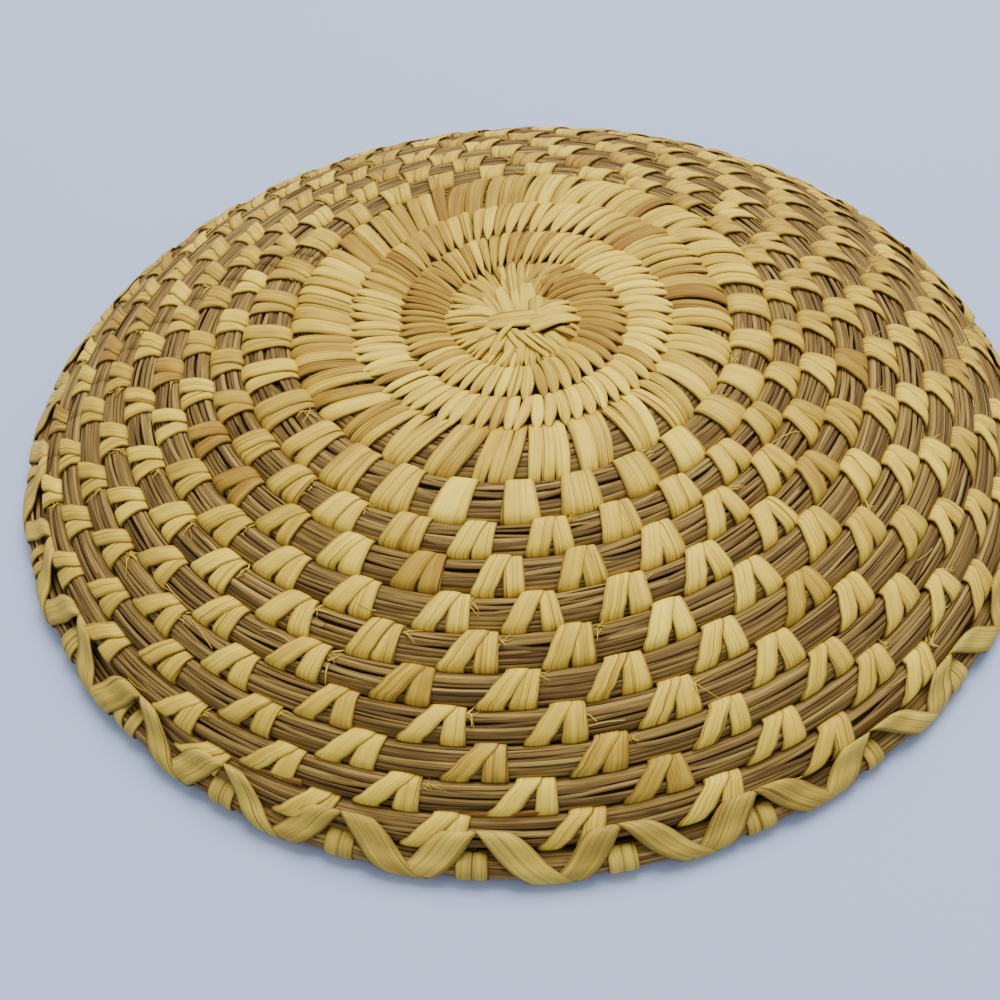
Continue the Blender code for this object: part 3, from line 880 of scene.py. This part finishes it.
# %% [markdown]
# ## The shape of a petal
# A strip of leaf is as wide as its pitch over the coil's top, and closes to a tip where it laps
# over its neighbours. Its tip, lean and crown are all curves of the angle round the section, so
# one function makes every petal, and chance only scales its numbers.

# %% Petals
PETAL_LIFT = 0.0002
PETAL_OVER = 0.0004
PETAL_CROWN = 0.0006
PETAL_WIDTH = 1.05
PETAL_TIP = 0.34


def petals(places, seed):
    """Closed strips from the coil's inner edge over its top and back underneath.

    A petal is a full pitch wide up to the coil's top and closes to a tip at its lapping end. The
    lean is pitch cos(angle) / 2, and a fan's feet move in by gap times their place in it.
    """
    turns, step, place = places.T[:, :, None]
    uneven = np.random.default_rng(seed).normal(0.0, 1.0, (6, len(places), 1))
    angle = along_rings(len(places), math.pi, -math.pi, WRAP_RINGS + 2)
    length = FULL_TURN * coil_radius(turns)
    pitch = length * step
    outer = 0.5 + 0.5 * np.cos(angle)
    fan = fan_side(turns)
    gap = fan * (0.12 + 0.22 * np.exp(-((turns - 3.95) / 0.2) ** 4)) * (1.0 + 0.3 * uneven[5])
    lapping = lapping_end(turns, angle)
    tip = PETAL_TIP + fan * 0.5
    belly = np.abs(np.sin(angle))
    closing = np.clip((2.0 * lapping - 1.3) / 0.7, 0.0, 1.0) ** 1.5
    width = pitch * (PETAL_WIDTH - (PETAL_WIDTH - tip) * closing) * (1.0 + 0.07 * uneven[0])
    width = width * (1.0 - 0.6 * gap * outer)
    lean = pitch * (0.5 + 0.12 * uneven[1]) * np.cos(angle)
    shift = lean - gap * length * STITCH_STEP * place * outer
    over = PETAL_OVER * lapping ** 4 * (1.0 + 0.5 * uneven[3])
    lift = PETAL_LIFT + PETAL_LIFT * np.abs(uneven[2]) + over
    crown = PETAL_CROWN * (1.0 + 0.12 * uneven[4]) * (0.25 + 0.75 * belly)
    return strip_tubes(petal_point, coil_radius, turns[:, 0], angle, shift, width, lift, crown)


for number in CLOSED_ROUNDS:
    low = COIL_START + (number - 1) * STITCHES_PER_ROUND * STITCH_STEP
    high = low + STITCHES_PER_ROUND * STITCH_STEP
    here = all_petals[(all_petals[:, 0] >= low) & (all_petals[:, 0] < high)]
    if len(here):
        groups = [(petals(here, 600 + number), leaf_shades(here[:, 0], 610 + number))]
        strips = add_strips(f"closed_strips_{number:02d}", groups, leaf, 620 + number)
        dress(strips, "leaf_strip", f"closed_sewing_{number:02d}")
        print(strips.name, len(here), "strips")

# %% [markdown]
# ## The start
# The coil starts from a knot of crossed leaves, and their ends fan out over the first round as a
# fringe. These strips follow no coil, so each is given by two points on the ground plan. Its
# height rises from the knot, stays level, and dives at the tip.

# %% Strips on the ground plan
def plan_strips(starts, ends, start_width, end_width, bottom, rise, droop, bow, crown):
    """Strips from starts to ends, in metres from the knot's middle.

    At share s: width goes from start to end width and closes as (1 - 0.7 s^4), height is
    bottom + rise sin(pi s) - droop s^4, and the middle line bows aside by bow sin(pi s).
    """
    share = np.linspace(0.0, 1.0, WRAP_RINGS)[None, :, None]
    starts, ends = (np.asarray(side, dtype=float)[:, None, None] for side in (starts, ends))
    start_width, end_width, bottom, rise, droop, bow, crown = (
        np.broadcast_to(value, len(starts))[:, None, None]
        for value in (start_width, end_width, bottom, rise, droop, bow, crown))
    along = ends - starts
    length = np.linalg.norm(along, axis=-1, keepdims=True)
    aside = np.stack([-along[..., 1], along[..., 0]], axis=-1) / length
    width = (start_width + (end_width - start_width) * share) * (1.0 - 0.7 * share ** 4)
    across = STRIP_ACROSS * width / 2.0
    offset = across + bow * np.sin(math.pi * share)
    flat = starts + along * share[..., None] + aside * offset[..., None]
    height = bottom + rise * np.sin(math.pi * share) - droop * share ** 4 + strip_section(crown)
    height = FACE_TOP + height + 0.0 * offset
    points = np.concatenate([flat + KNOT_CENTRE, height[..., None]], axis=-1)
    return points, share * length[..., 0], across


def ground(radius, turns):
    """A ground plan point at a radius and turns clockwise from the front."""
    around = FULL_TURN * turns
    return np.stack([-radius * np.sin(around), -radius * np.cos(around)], axis=-1)


print("the knot's middle", KNOT_CENTRE.round(4))

# %% [markdown]
# ## The fringe
# The ends of the start's leaves lie over the first round like short rays, in two layers. At the
# front they show whole, and at the back they run in under the first petals, so there they are
# longer. Chance moves each ray a little in its place, length and width. The first round's
# underside, which shows from inside the bowl, is sewn like the others.

# %% Fringe
FRINGE_TURNS = (0.60, 1.58)
FRINGE_STRIPS = 58
FRINGE_WIDTH = 0.0027
FRINGE_ROOT = (0.003, 0.006)
TUCKED_FROM = 1.22
TUCKED_LONGER = 0.0046
UNDER_PER_TURN = np.array([(0.4, 18.0), (1.0, 36.0), (1.6, 46.0)])
FRINGE_BOTTOM = 0.0037
LOWER_BOTTOM = 0.0027
LOWER_FEWER = 12
UNDER_WIDTH = 1.08


def fringe(count, seed, bottom, width):
    """Strips from under the knot to the first round's edge, and under the petals at the back."""
    draw = np.random.default_rng(seed)
    turns = np.linspace(*FRINGE_TURNS, count) + draw.normal(0.0, 0.002, count)
    tucked = smooth((turns - TUCKED_FROM) / 0.15)
    reach = np.interp(turns, *EDGE_REACH.T) + TUCKED_LONGER * tucked
    reach = reach + draw.normal(0.0006, 0.0010, count) * (1.0 - 0.6 * tucked)
    strips = plan_strips(
        starts=ground(draw.uniform(*FRINGE_ROOT, count), turns - 0.03),
        ends=ground(reach, turns + 0.01), start_width=width * 0.7,
        end_width=width * draw.uniform(0.75, 1.4, count) * (1.0 + 0.35 * tucked),
        bottom=bottom + draw.uniform(0.0, 0.0006, count), rise=0.0007, droop=0.0014,
        bow=draw.normal(0.0, 0.0007, count), crown=0.0004)
    return strips, leaf_shades(turns, seed + 2) - 0.04


def under_strips(seed):
    """Strips round the underside of the first round, which has the fringe on top."""
    draw = np.random.default_rng(seed)
    turns = spaced(COIL_START, PETALS_FROM + 0.02, 1000, UNDER_PER_TURN)
    angle = np.radians(along_rings(len(turns), 10.0, -200.0))
    per_turn = np.interp(turns, *UNDER_PER_TURN.T)[:, None]
    pitch = FULL_TURN * coil_radius(turns)[:, None] / per_turn
    lift = 0.0002 + LIFT_CHANCE * np.abs(draw.normal(0.0, 1.0, (len(turns), 1)))
    strips = strip_tubes(coil_point, coil_radius, turns, angle, 0.3 * pitch * np.cos(angle),
                         UNDER_WIDTH * pitch, lift, 0.0003)
    return strips, leaf_shades(turns, seed + 1)


fringe_layers = [fringe(FRINGE_STRIPS, 31, FRINGE_BOTTOM, FRINGE_WIDTH),
                 fringe(FRINGE_STRIPS - LOWER_FEWER, 41, LOWER_BOTTOM, FRINGE_WIDTH * 1.2),
                 under_strips(44)]
fringe_piece = add_strips("fringe", fringe_layers, leaf, 34)
dress(fringe_piece, "leaf_strip", "closed_sewing_01")
print("fringe and underside", [len(shades) for _, shades in fringe_layers], "strips")

# %% [markdown]
# ## The knot
# In the middle the start's leaves cross and fold over each other. Chance can't give a knot, so
# each leaf is a row of a table, from the lowest to the broad one that folds over the rest. Two
# dark slivers are painted shadow, laid in the gaps beside that broad leaf.

# %% Knot
BROAD_LEAF = 9.0
SLIT_SHADE = 0.2
KNOT_SHADE = (0.52, 0.06)  # mean, spread
KNOT_STRIPS = np.array([
    # from x, y, to x, y, width, height over the fringe, bow (millimetres)
    (-7.0, 1.5, -13.0, 16.5, 4.8, 0.0, 0.3), (-4.2, 1.5, -7.6, 18.5, 4.6, 0.2, 0.2),
    (-1.2, 1.0, -2.4, 20.0, 4.2, 0.0, 0.0), (1.6, 1.0, 1.6, 21.0, 6.4, 0.2, 0.0),
    (-8.5, 3.0, -19.0, 8.0, 4.6, 0.0, 0.4), (-8.5, -1.0, -20.5, -2.0, 4.2, 0.1, -0.3),
    (-7.5, -3.5, -19.0, -9.5, 4.0, 0.0, -0.3), (-5.5, -5.0, -11.5, -17.0, 4.2, 0.2, 0.3),
    (-3.6, -5.0, -6.4, -19.0, 4.2, 0.0, 0.2), (-1.0, -5.0, -2.2, -19.5, 3.8, 0.2, 0.0),
    (6.0, -6.0, 12.6, -14.5, 3.2, 0.0, -0.3), (7.0, -4.5, 16.5, -9.5, 3.4, 0.2, -0.3),
    (0.5, -6.0, 9.4, -16.4, 3.6, 0.5, -0.8), (-5.6, -4.6, 0.4, -17.2, 2.3, 0.7, -0.9),
    (-4.4, -4.8, 6.2, -17.6, 2.4, 1.0, -1.0), (-2.8, -3.2, -9.8, -13.2, 2.2, 1.5, -0.4),
    (3.6, -2.0, 3.9, 12.5, 5.6, 0.8, -0.4), (2.6, 0.2, 15.2, 7.2, 3.8, 0.9, 0.3),
    (2.4, -1.6, 17.4, 3.0, 4.4, 1.1, 0.3), (3.4, -1.4, -14.8, -1.8, 8.2, 1.2, 0.6),
    (1.4, -4.9, 18.4, -1.6, 9.2, 1.25, 0.3)])
# Painted shadow: two dark strips lie where the gaps beside the broad leaf are in shade.
KNOT_SHADOW_SLITS = np.array([
    (0.4, -6.2, -11.2, -6.0, 0.7, 1.15, -0.3), (5.0, -8.6, 15.4, -3.9, 0.7, 1.15, 0.2)])


def knot_strips(table):
    """The table's strips; the broad leaf that folds over the knot narrows to its tip."""
    narrowing = np.where(table[:, 4] > BROAD_LEAF, 0.5, 1.0)
    metres = table * 0.001
    width, height, bow = metres[:, 4:].T
    return plan_strips(
        starts=metres[:, 0:2], ends=metres[:, 2:4], start_width=width * 0.9,
        end_width=width * narrowing, bottom=START_HEIGHT + height, rise=0.0005,
        droop=0.0018 + 0.6 * height, bow=bow, crown=0.0003)


knot_shades = np.random.default_rng(35).normal(*KNOT_SHADE, len(KNOT_STRIPS))
knot_piece = add_strips("knot", [(knot_strips(KNOT_STRIPS), knot_shades)], leaf, 36)
slit_shades = np.full(len(KNOT_SHADOW_SLITS), SLIT_SHADE)
slits = add_strips("knot_shadows", [(knot_strips(KNOT_SHADOW_SLITS), slit_shades)], slit_shadow, 37)
dress(slits, "knot_strip", "start_strip_1")
dress(knot_piece, "knot_strip", *(f"start_strip_{number}" for number in range(1, 5)))
print("leaves in the knot", len(KNOT_STRIPS))

# %% [markdown]
# ## The rim
# The rim is a bundle too, with its own stems, sewn on by long strips that slant both ways from
# each stitch: a herringbone. Every strip comes out of the last round's face, goes down over the
# rim and back underneath, and moves on by one stitch on its way. The bundle comes first, made
# like the coil's. The tops of the herringbone, its apexes, stand at the last round's stitches.

# %% The rim's bundle
RIM_STEMS = 18
# The rim's stems are a darker tone than the coil's: partly the rim's own greyer grass, partly
# painted shade for its front, which gets less light.
RIM_TONE_AND_SHADE = 0.44
RIM_CORE_DEPTH = 0.0010

apex_places = TAIL_START + STITCH_STEP * 0.5 + np.arange(STITCHES_PER_ROUND) / STITCHES_PER_ROUND
apexes = apex_places % 1.0
rim_turns = apexes[0] + np.linspace(0.0, 1.0, STITCHES_PER_ROUND * RINGS_PER_STITCH + 1)
rim_stems = add_stems("rim_stems", rim_point, rim_turns, 40, RIM_STEMS, RIM_TONE_AND_SHADE)
dress(rim_stems, "rim_grass", "rim_coil")
rim_core = add_core("rim_core", rim_point, rim_turns[::2], RIM_CORE_DEPTH)
dress(rim_core, "rim_grass", "rim_coil")
print("rim stems", RIM_STEMS, "stitches round the rim", len(apexes))

# %% [markdown]
# ## The lashing's path
# A lashing strip has to leave one surface and lie on another. Its path starts on the last round's
# face, goes straight to the rim's top, and then follows the rim's section down and underneath.
# The tray stands on it, so what would go through the floor is pressed flat.

# %% Path of the lashing
ANCHOR_IN = np.array([(0.0, 0.0012), (0.04, 0.0004), (0.09, -0.0022), (0.91, -0.0022),
                      (0.96, 0.0004), (1.0, 0.0012)])
ANCHOR_DEPTH = 0.0003
ANCHOR_SHARE = 0.18
SPAN_RISE = 0.0013
FLOOR_PRESS = 0.0012
OVER_RIM = math.radians(72.0)
MEETING = math.radians(-52.0)
UNDER_RIM = math.radians(-205.0)


def rim_radius(turns):
    """Distance of the rim's middle from the tray's axis."""
    return ring_value(turns, RADIUS)


def lash_point(turns, share, lift=0.0):
    """From the last round's face (share 0) to the rim's top (ANCHOR_SHARE), then round the rim.

    Below FLOOR_PRESS the height h becomes FLOOR_PRESS exp(h / FLOOR_PRESS - 1), flat on the floor.
    """
    turns, share, lift = np.broadcast_arrays(turns, share, lift)
    inner_side = rim_radius(turns) - ring_value(turns, HALF_WIDTH)
    inwards = inner_side - np.interp(turns % 1.0, *ANCHOR_IN.T)
    reach = np.interp(inwards, face_radius, face_reach)
    slope = np.interp(reach, face_reach, face_slope)
    height = (FACE_TOP - np.interp(reach, face_reach, face_fall)
              + (HALF_THICKNESS - ANCHOR_DEPTH + lift) / np.cos(slope))
    anchor = place_at(inwards, height, turns)
    round_share = np.clip((share - ANCHOR_SHARE) / (1.0 - ANCHOR_SHARE), 0.0, 1.0)
    on_rim = rim_point(turns, OVER_RIM + (UNDER_RIM - OVER_RIM) * round_share, lift)
    straight = np.clip(share / ANCHOR_SHARE, 0.0, 1.0)[..., None]
    points = anchor + (on_rim - anchor) * straight
    height = points[..., 2] + SPAN_RISE * np.sin(math.pi * straight[..., 0])
    pressed = FLOOR_PRESS * np.exp(height / FLOOR_PRESS - 1.0)
    points[..., 2] = np.where(height < FLOOR_PRESS, pressed, height)
    return points


def share_at(angle):
    """A lashing strip's share where it is at an angle round the rim."""
    return ANCHOR_SHARE + (1.0 - ANCHOR_SHARE) * (OVER_RIM - angle) / (OVER_RIM - UNDER_RIM)


FACING_SHARE = share_at(0.0)
MEETING_SHARE = share_at(MEETING)
print("shares where it faces out and where the sets meet", FACING_SHARE, MEETING_SHARE)

# %% [markdown]
# ## Lashing and ties
# The two sets of the herringbone are mirror images that part at each stitch and cross halfway to
# the next. The set that lies over the other is lifted more. Between them, under each stitch, a
# short split tie holds the rim's bundle together.

# %% Lashing and ties
LASH_WIDTH = 0.0102
LASH_START = 0.075
LASH_END = 0.94
LASH_WAY = (0.0, 0.50, 0.89, 1.0)
LASH_RINGS = 26
TIE_WIDTH = 0.0076
TIE_ANGLES = (math.radians(105.0), math.radians(-160.0))
NOTCH = 0.0011
NOTCHED_SHARE = 0.4
# The lashing's and ties' mean tone is set low: partly the leaf's own tone, partly painted shade for
# the rim, which faces down and gets less light.
LASH_TONE_AND_SHADE = (0.46, 0.07)  # mean, spread
LASH_LIFT = 0.0002
LASH_SUNK = 0.0016
LASH_CROWN = 0.00025
TIE_LIFT = 0.0001
TIE_CROWN = 0.0002


def lashing(side, met, over, seed):
    """Slanting strips: from LASH_START stitches along to met ones, then on to the next stitch."""
    uneven = np.random.default_rng(seed).normal(0.0, 1.0, (4, len(apexes), 1))
    share = along_rings(len(apexes), 0.0, 1.0, LASH_RINGS)
    length = (FULL_TURN * rim_radius(apexes) / STITCHES_PER_ROUND)[:, None]
    way = np.interp(share, (0.0, ANCHOR_SHARE, FACING_SHARE, MEETING_SHARE), LASH_WAY)
    beyond = np.clip((share - MEETING_SHARE) / (1.0 - MEETING_SHARE), 0.0, 1.0)
    moved = LASH_START + (met - LASH_START) * way + (LASH_END - met) * beyond
    shift = side * length * moved * (1.0 + 0.05 * uneven[3]) + 0.0006 * uneven[0]
    width = LASH_WIDTH * (1.0 + 0.09 * uneven[1]) * (0.80 + 0.20 * smooth(share / 0.14))
    width = width * (1.0 - 0.35 * smooth((share - 0.6) / 0.4))
    crossing = np.exp(-((share - MEETING_SHARE) / 0.12) ** 2)
    lift = LASH_LIFT + over * (0.4 + 0.6 * crossing) + LIFT_CHANCE * np.abs(uneven[2])
    lift = lift - LASH_SUNK * (1.0 - smooth(share / 0.06))
    return strip_tubes(lash_point, rim_radius, apexes, share, shift, width, lift, LASH_CROWN)


def ties(seed):
    """Short upright strips under each top, as two halves, some with a notch between at the top."""
    draw = np.random.default_rng(seed)
    angle = along_rings(len(apexes), *TIE_ANGLES)
    uneven = draw.normal(0.0, 1.0, (2, len(apexes), 1))
    width = TIE_WIDTH * (1.0 + 0.14 * uneven[0]) / 2.0
    middle = -0.0008 + 0.0010 * uneven[1]
    notch = NOTCH * (draw.uniform(size=(len(apexes), 1)) < NOTCHED_SHARE)
    notch = notch * smooth((np.sin(angle) + 0.4) / 1.4)
    return [strip_tubes(rim_point, rim_radius, apexes, angle,
                        middle + side * (width / 2.05 + notch), width, TIE_LIFT, TIE_CROWN)
            for side in (-1.0, 1.0)]


lash_shades = np.random.default_rng(705).normal(*LASH_TONE_AND_SHADE, len(apexes))
tie_shades = np.random.default_rng(706).normal(*LASH_TONE_AND_SHADE, len(apexes))
lash_sets = [lashing(1.0, 0.44, 0.0004, 701), lashing(-1.0, 0.53, 0.0009, 702)]
for name, sets, shades, seed in (("rim_lashing_strips", lash_sets, lash_shades, 710),
                                 ("rim_ties", ties(703), tie_shades, 711)):
    piece = add_strips(name, [(strips, shades) for strips in sets], pale_leaf, seed)
    dress(piece, "lashing_strip", "rim_lashing")
    print(name, len(piece.data.polygons), "faces")

# %% [markdown]
# ## Loose fibre
# Where a new strip starts, its cut end stands out beside the stitch as a small tuft. Its hairs
# are the same flat tubes as the stems, along paths that leave the surface: each starts out at its
# own lean and curls with the square of its length. A particle system would do it too, but its
# hairs aren't meshes, and the exported tray would lose them.

# %% Tufts
TUFT_SHARE = 0.3
HAIRS_IN_TUFT = 7
HAIR_RINGS = 8
HAIR_WIDTH = 0.00013
HAIR_FLATNESS = 0.7
HAIR_WAYS = ((-0.5, 0.5), (0.0, 0.6), (0.0, 0.8), (-0.2, 0.7))  # lean, climb and two curls


def surface_frame(turns, angle):
    """Point, outward direction and direction of winding at places on the coil."""
    here = coil_point(turns, angle, 0.0)
    out = coil_point(turns, angle, 0.001) - here
    ahead = coil_point(turns + 0.001, angle, 0.0) - here
    return here, unit(out), unit(ahead)


draw = np.random.default_rng(51)
tops = np.concatenate([stitch_turns(number) for number in OPEN_ROUNDS])
tops = tops[draw.uniform(size=len(tops)) < TUFT_SHARE]
roots = np.repeat(tops - TOP_WIDTH * 0.52 / (FULL_TURN * coil_radius(tops)), HAIRS_IN_TUFT)
hairs = len(roots)
root_angle = np.radians(draw.normal(118.0, 12.0, hairs))
here, out, ahead = surface_frame(roots + draw.normal(0.0, 0.0004, hairs), root_angle)
here, out, ahead, uphill = (rows[:, None] for rows in (here, out, ahead, np.cross(ahead, out)))
share = np.linspace(0.0, 1.0, HAIR_RINGS)[None, :, None]
length = draw.uniform(0.0012, 0.0036, (hairs, 1, 1))
lean, climb, curl_ahead, curl_up = (draw.normal(*way, (hairs, 1, 1)) for way in HAIR_WAYS)
paths = (here + length * share * (out * 0.5 + ahead * lean + uphill * climb)
         + length * share ** 2 * (ahead * curl_ahead + uphill * curl_up - out * 0.35))
tuft_width = HAIR_WIDTH * draw.uniform(0.7, 2.6, (hairs, 1)) * (1.15 - share[..., 0])
points, run = flat_tubes(paths, out, tuft_width, HAIR_FLATNESS)
tuft_piece = add_tubes("tufts", points, run, STEM_CORNER * 0.001,
                       draw.uniform(0.3, 0.75, (hairs, 1, 1)), HIDDEN_SIDE, leaf)
dress(tuft_piece, "leaf_strip")
print("tufts", len(tops), "hairs", hairs)

# %% [markdown]
# ## Hairs and stems that lie on the coil
# Fine fibres have come loose from the stems and lie along them, and two reddish stems show at the
# foot of the wall. They keep to the coil's coordinates, with a little lift and an angle that
# drifts along them.

# %% Loose hairs and two reddish stems
LOOSE_HAIRS = 44
LYING_RINGS = 14


def lying(name, turns, angle, lift, width, flatness, shade, material):
    """Stems or hairs that lie along the coil; turns and angle are strand by ring."""
    path = coil_point(turns, angle, lift)
    out = coil_point(turns, angle, lift + 0.001) - path
    points, run = flat_tubes(path, out, width, flatness)
    piece = add_tubes(name, points, run + turns[:, :1, None], STEM_CORNER * 0.001, shade,
                      HIDDEN_SIDE, material)
    dress(piece, "split_grass")


share = np.linspace(0.0, 1.0, LYING_RINGS)[None]
each = (LOOSE_HAIRS, 1)
starts = draw.uniform(4.9, 14.0, each)
turns = starts + draw.uniform(0.008, 0.022, each) * share * (10.0 / (4.0 + starts))
angle = np.radians(draw.uniform(20.0, 120.0, each)
                   + draw.normal(0.0, 3.0, each) * np.sin(math.pi * share)
                   + draw.normal(0.0, 18.0, each) * share)
lift = 0.0003 + 0.0008 * np.sin(math.pi * share) * draw.uniform(0.0, 1.0, each) ** 2
lying("loose_hairs", turns, angle, lift, HAIR_WIDTH * draw.uniform(0.6, 1.4, each), 0.8,
      draw.uniform(0.4, 0.9, (LOOSE_HAIRS, 1, 1)), leaf)

RED_STEMS = np.array([  # first and last turns, first and last angle, width
    (13.066, 13.100, 50.0, 2.0, 0.00120), (12.998, 13.024, 44.0, 30.0, 0.00110)])
first, last, first_angle, last_angle, width = RED_STEMS.T[:, :, None]
turns = first + (last - first) * share
angle = np.radians(first_angle + (last_angle - first_angle) * share)
lying("reddish_stems", turns, angle, 0.0003, width * (1.0 - 0.7 * share ** 5), 0.4, 0.55, reddish)
print("loose hairs", LOOSE_HAIRS, "reddish stems", len(RED_STEMS))

# %% [markdown]
# ## The floor and the light
# The tray lies on a pale surface under broad, soft daylight. A large lamp above and behind gives
# the highlights on the strips, a weak one fills the front, and the room's own light keeps the
# shadows soft.

# %% Floor and light
FLOOR_SIZE = 3.0
FLOOR_COLOUR = (0.395, 0.485, 0.715)
LAMP_SIZE = 1.2
LAMPS = [  # name, place, watts, colour
    ("window", (0.24, 0.72, 1.55), 47.0, (1.0, 0.98, 0.94)),
    ("fill", (0.8, -0.9, 1.1), 2.0, (0.97, 0.98, 1.0))]
ROOM_COLOUR = (0.96, 0.97, 1.0)
ROOM_LIGHT = 0.72


def plain_material(name, colour, roughness):
    """One colour all over."""
    material = bpy.data.materials.new(name)
    material.use_nodes = True
    shader = material.node_tree.nodes["Principled BSDF"]
    shader.inputs["Base Color"].default_value = (*colour, 1.0)
    shader.inputs["Roughness"].default_value = roughness
    return material


half = FLOOR_SIZE / 2.0
floor_corners = [(-half, -half, 0.0), (half, -half, 0.0), (half, half, 0.0), (-half, half, 0.0)]
floor_mesh = bpy.data.meshes.new("floor")
floor_mesh.from_pydata(floor_corners, [], [(0, 1, 2, 3)])
floor_mesh.materials.append(plain_material("pale_floor", FLOOR_COLOUR, 0.7))
floor = add_object("floor", floor_mesh)


def add_lamp(name, place, power, colour):
    """A square lamp that faces the tray."""
    data = bpy.data.lights.new(name, "AREA")
    data.energy = power
    data.size = LAMP_SIZE
    data.color = colour
    lamp = add_object(name, data)
    lamp.location = place
    lamp.rotation_euler = (-Vector(place)).to_track_quat("-Z", "Y").to_euler()


for lamp in LAMPS:
    add_lamp(*lamp)

world = bpy.data.worlds.new("room")
bpy.context.scene.world = world
world.use_nodes = True
background = world.node_tree.nodes["Background"]
background.inputs["Color"].default_value = (*ROOM_COLOUR, 1.0)
background.inputs["Strength"].default_value = ROOM_LIGHT
print("lamps", [name for name, *_ in LAMPS])

# %% [markdown]
# ## The camera
# The camera stands in front of the tray, and its place and turn come from the photograph: how far
# back and how high it is from the face's middle, and small turns of yaw, pitch and roll. Its axes
# are worked out as vectors, because three angles in a row are hard to picture.

# %% Camera
CAMERA_BACK = 0.2992
CAMERA_ABOVE = 0.2565
LENS = 45.2
YAW, PITCH, ROLL = (math.radians(angle) for angle in (1.03, 7.84, -4.14))


def turned(axis, angle):
    """A turn about one of the picture's axes: 0 right, 1 down, 2 into the picture."""
    return np.array(Matrix.Rotation(angle, 3, "XYZ"[axis]))


forward = np.array([0.0, CAMERA_BACK, -CAMERA_ABOVE])
forward /= np.linalg.norm(forward)
right = np.array([1.0, 0.0, 0.0])
picture = np.stack([right, -np.cross(right, forward), forward])
picture = turned(2, ROLL) @ turned(0, PITCH) @ turned(1, YAW) @ picture
eye = np.array([SPIRAL_CENTRE[0], SPIRAL_CENTRE[1] - CAMERA_BACK, FACE_TOP + CAMERA_ABOVE])
camera_data = bpy.data.cameras.new("camera")
camera_data.lens = LENS
camera_data.sensor_width = 36.0
camera = add_object("camera", camera_data)
camera_axes = np.stack([picture[0], -picture[1], -picture[2], eye], axis=1)
camera.matrix_world = Matrix([*camera_axes.tolist(), [0.0, 0.0, 0.0, 1.0]])
bpy.context.scene.camera = camera
print("camera", eye.round(4), "lens", LENS)
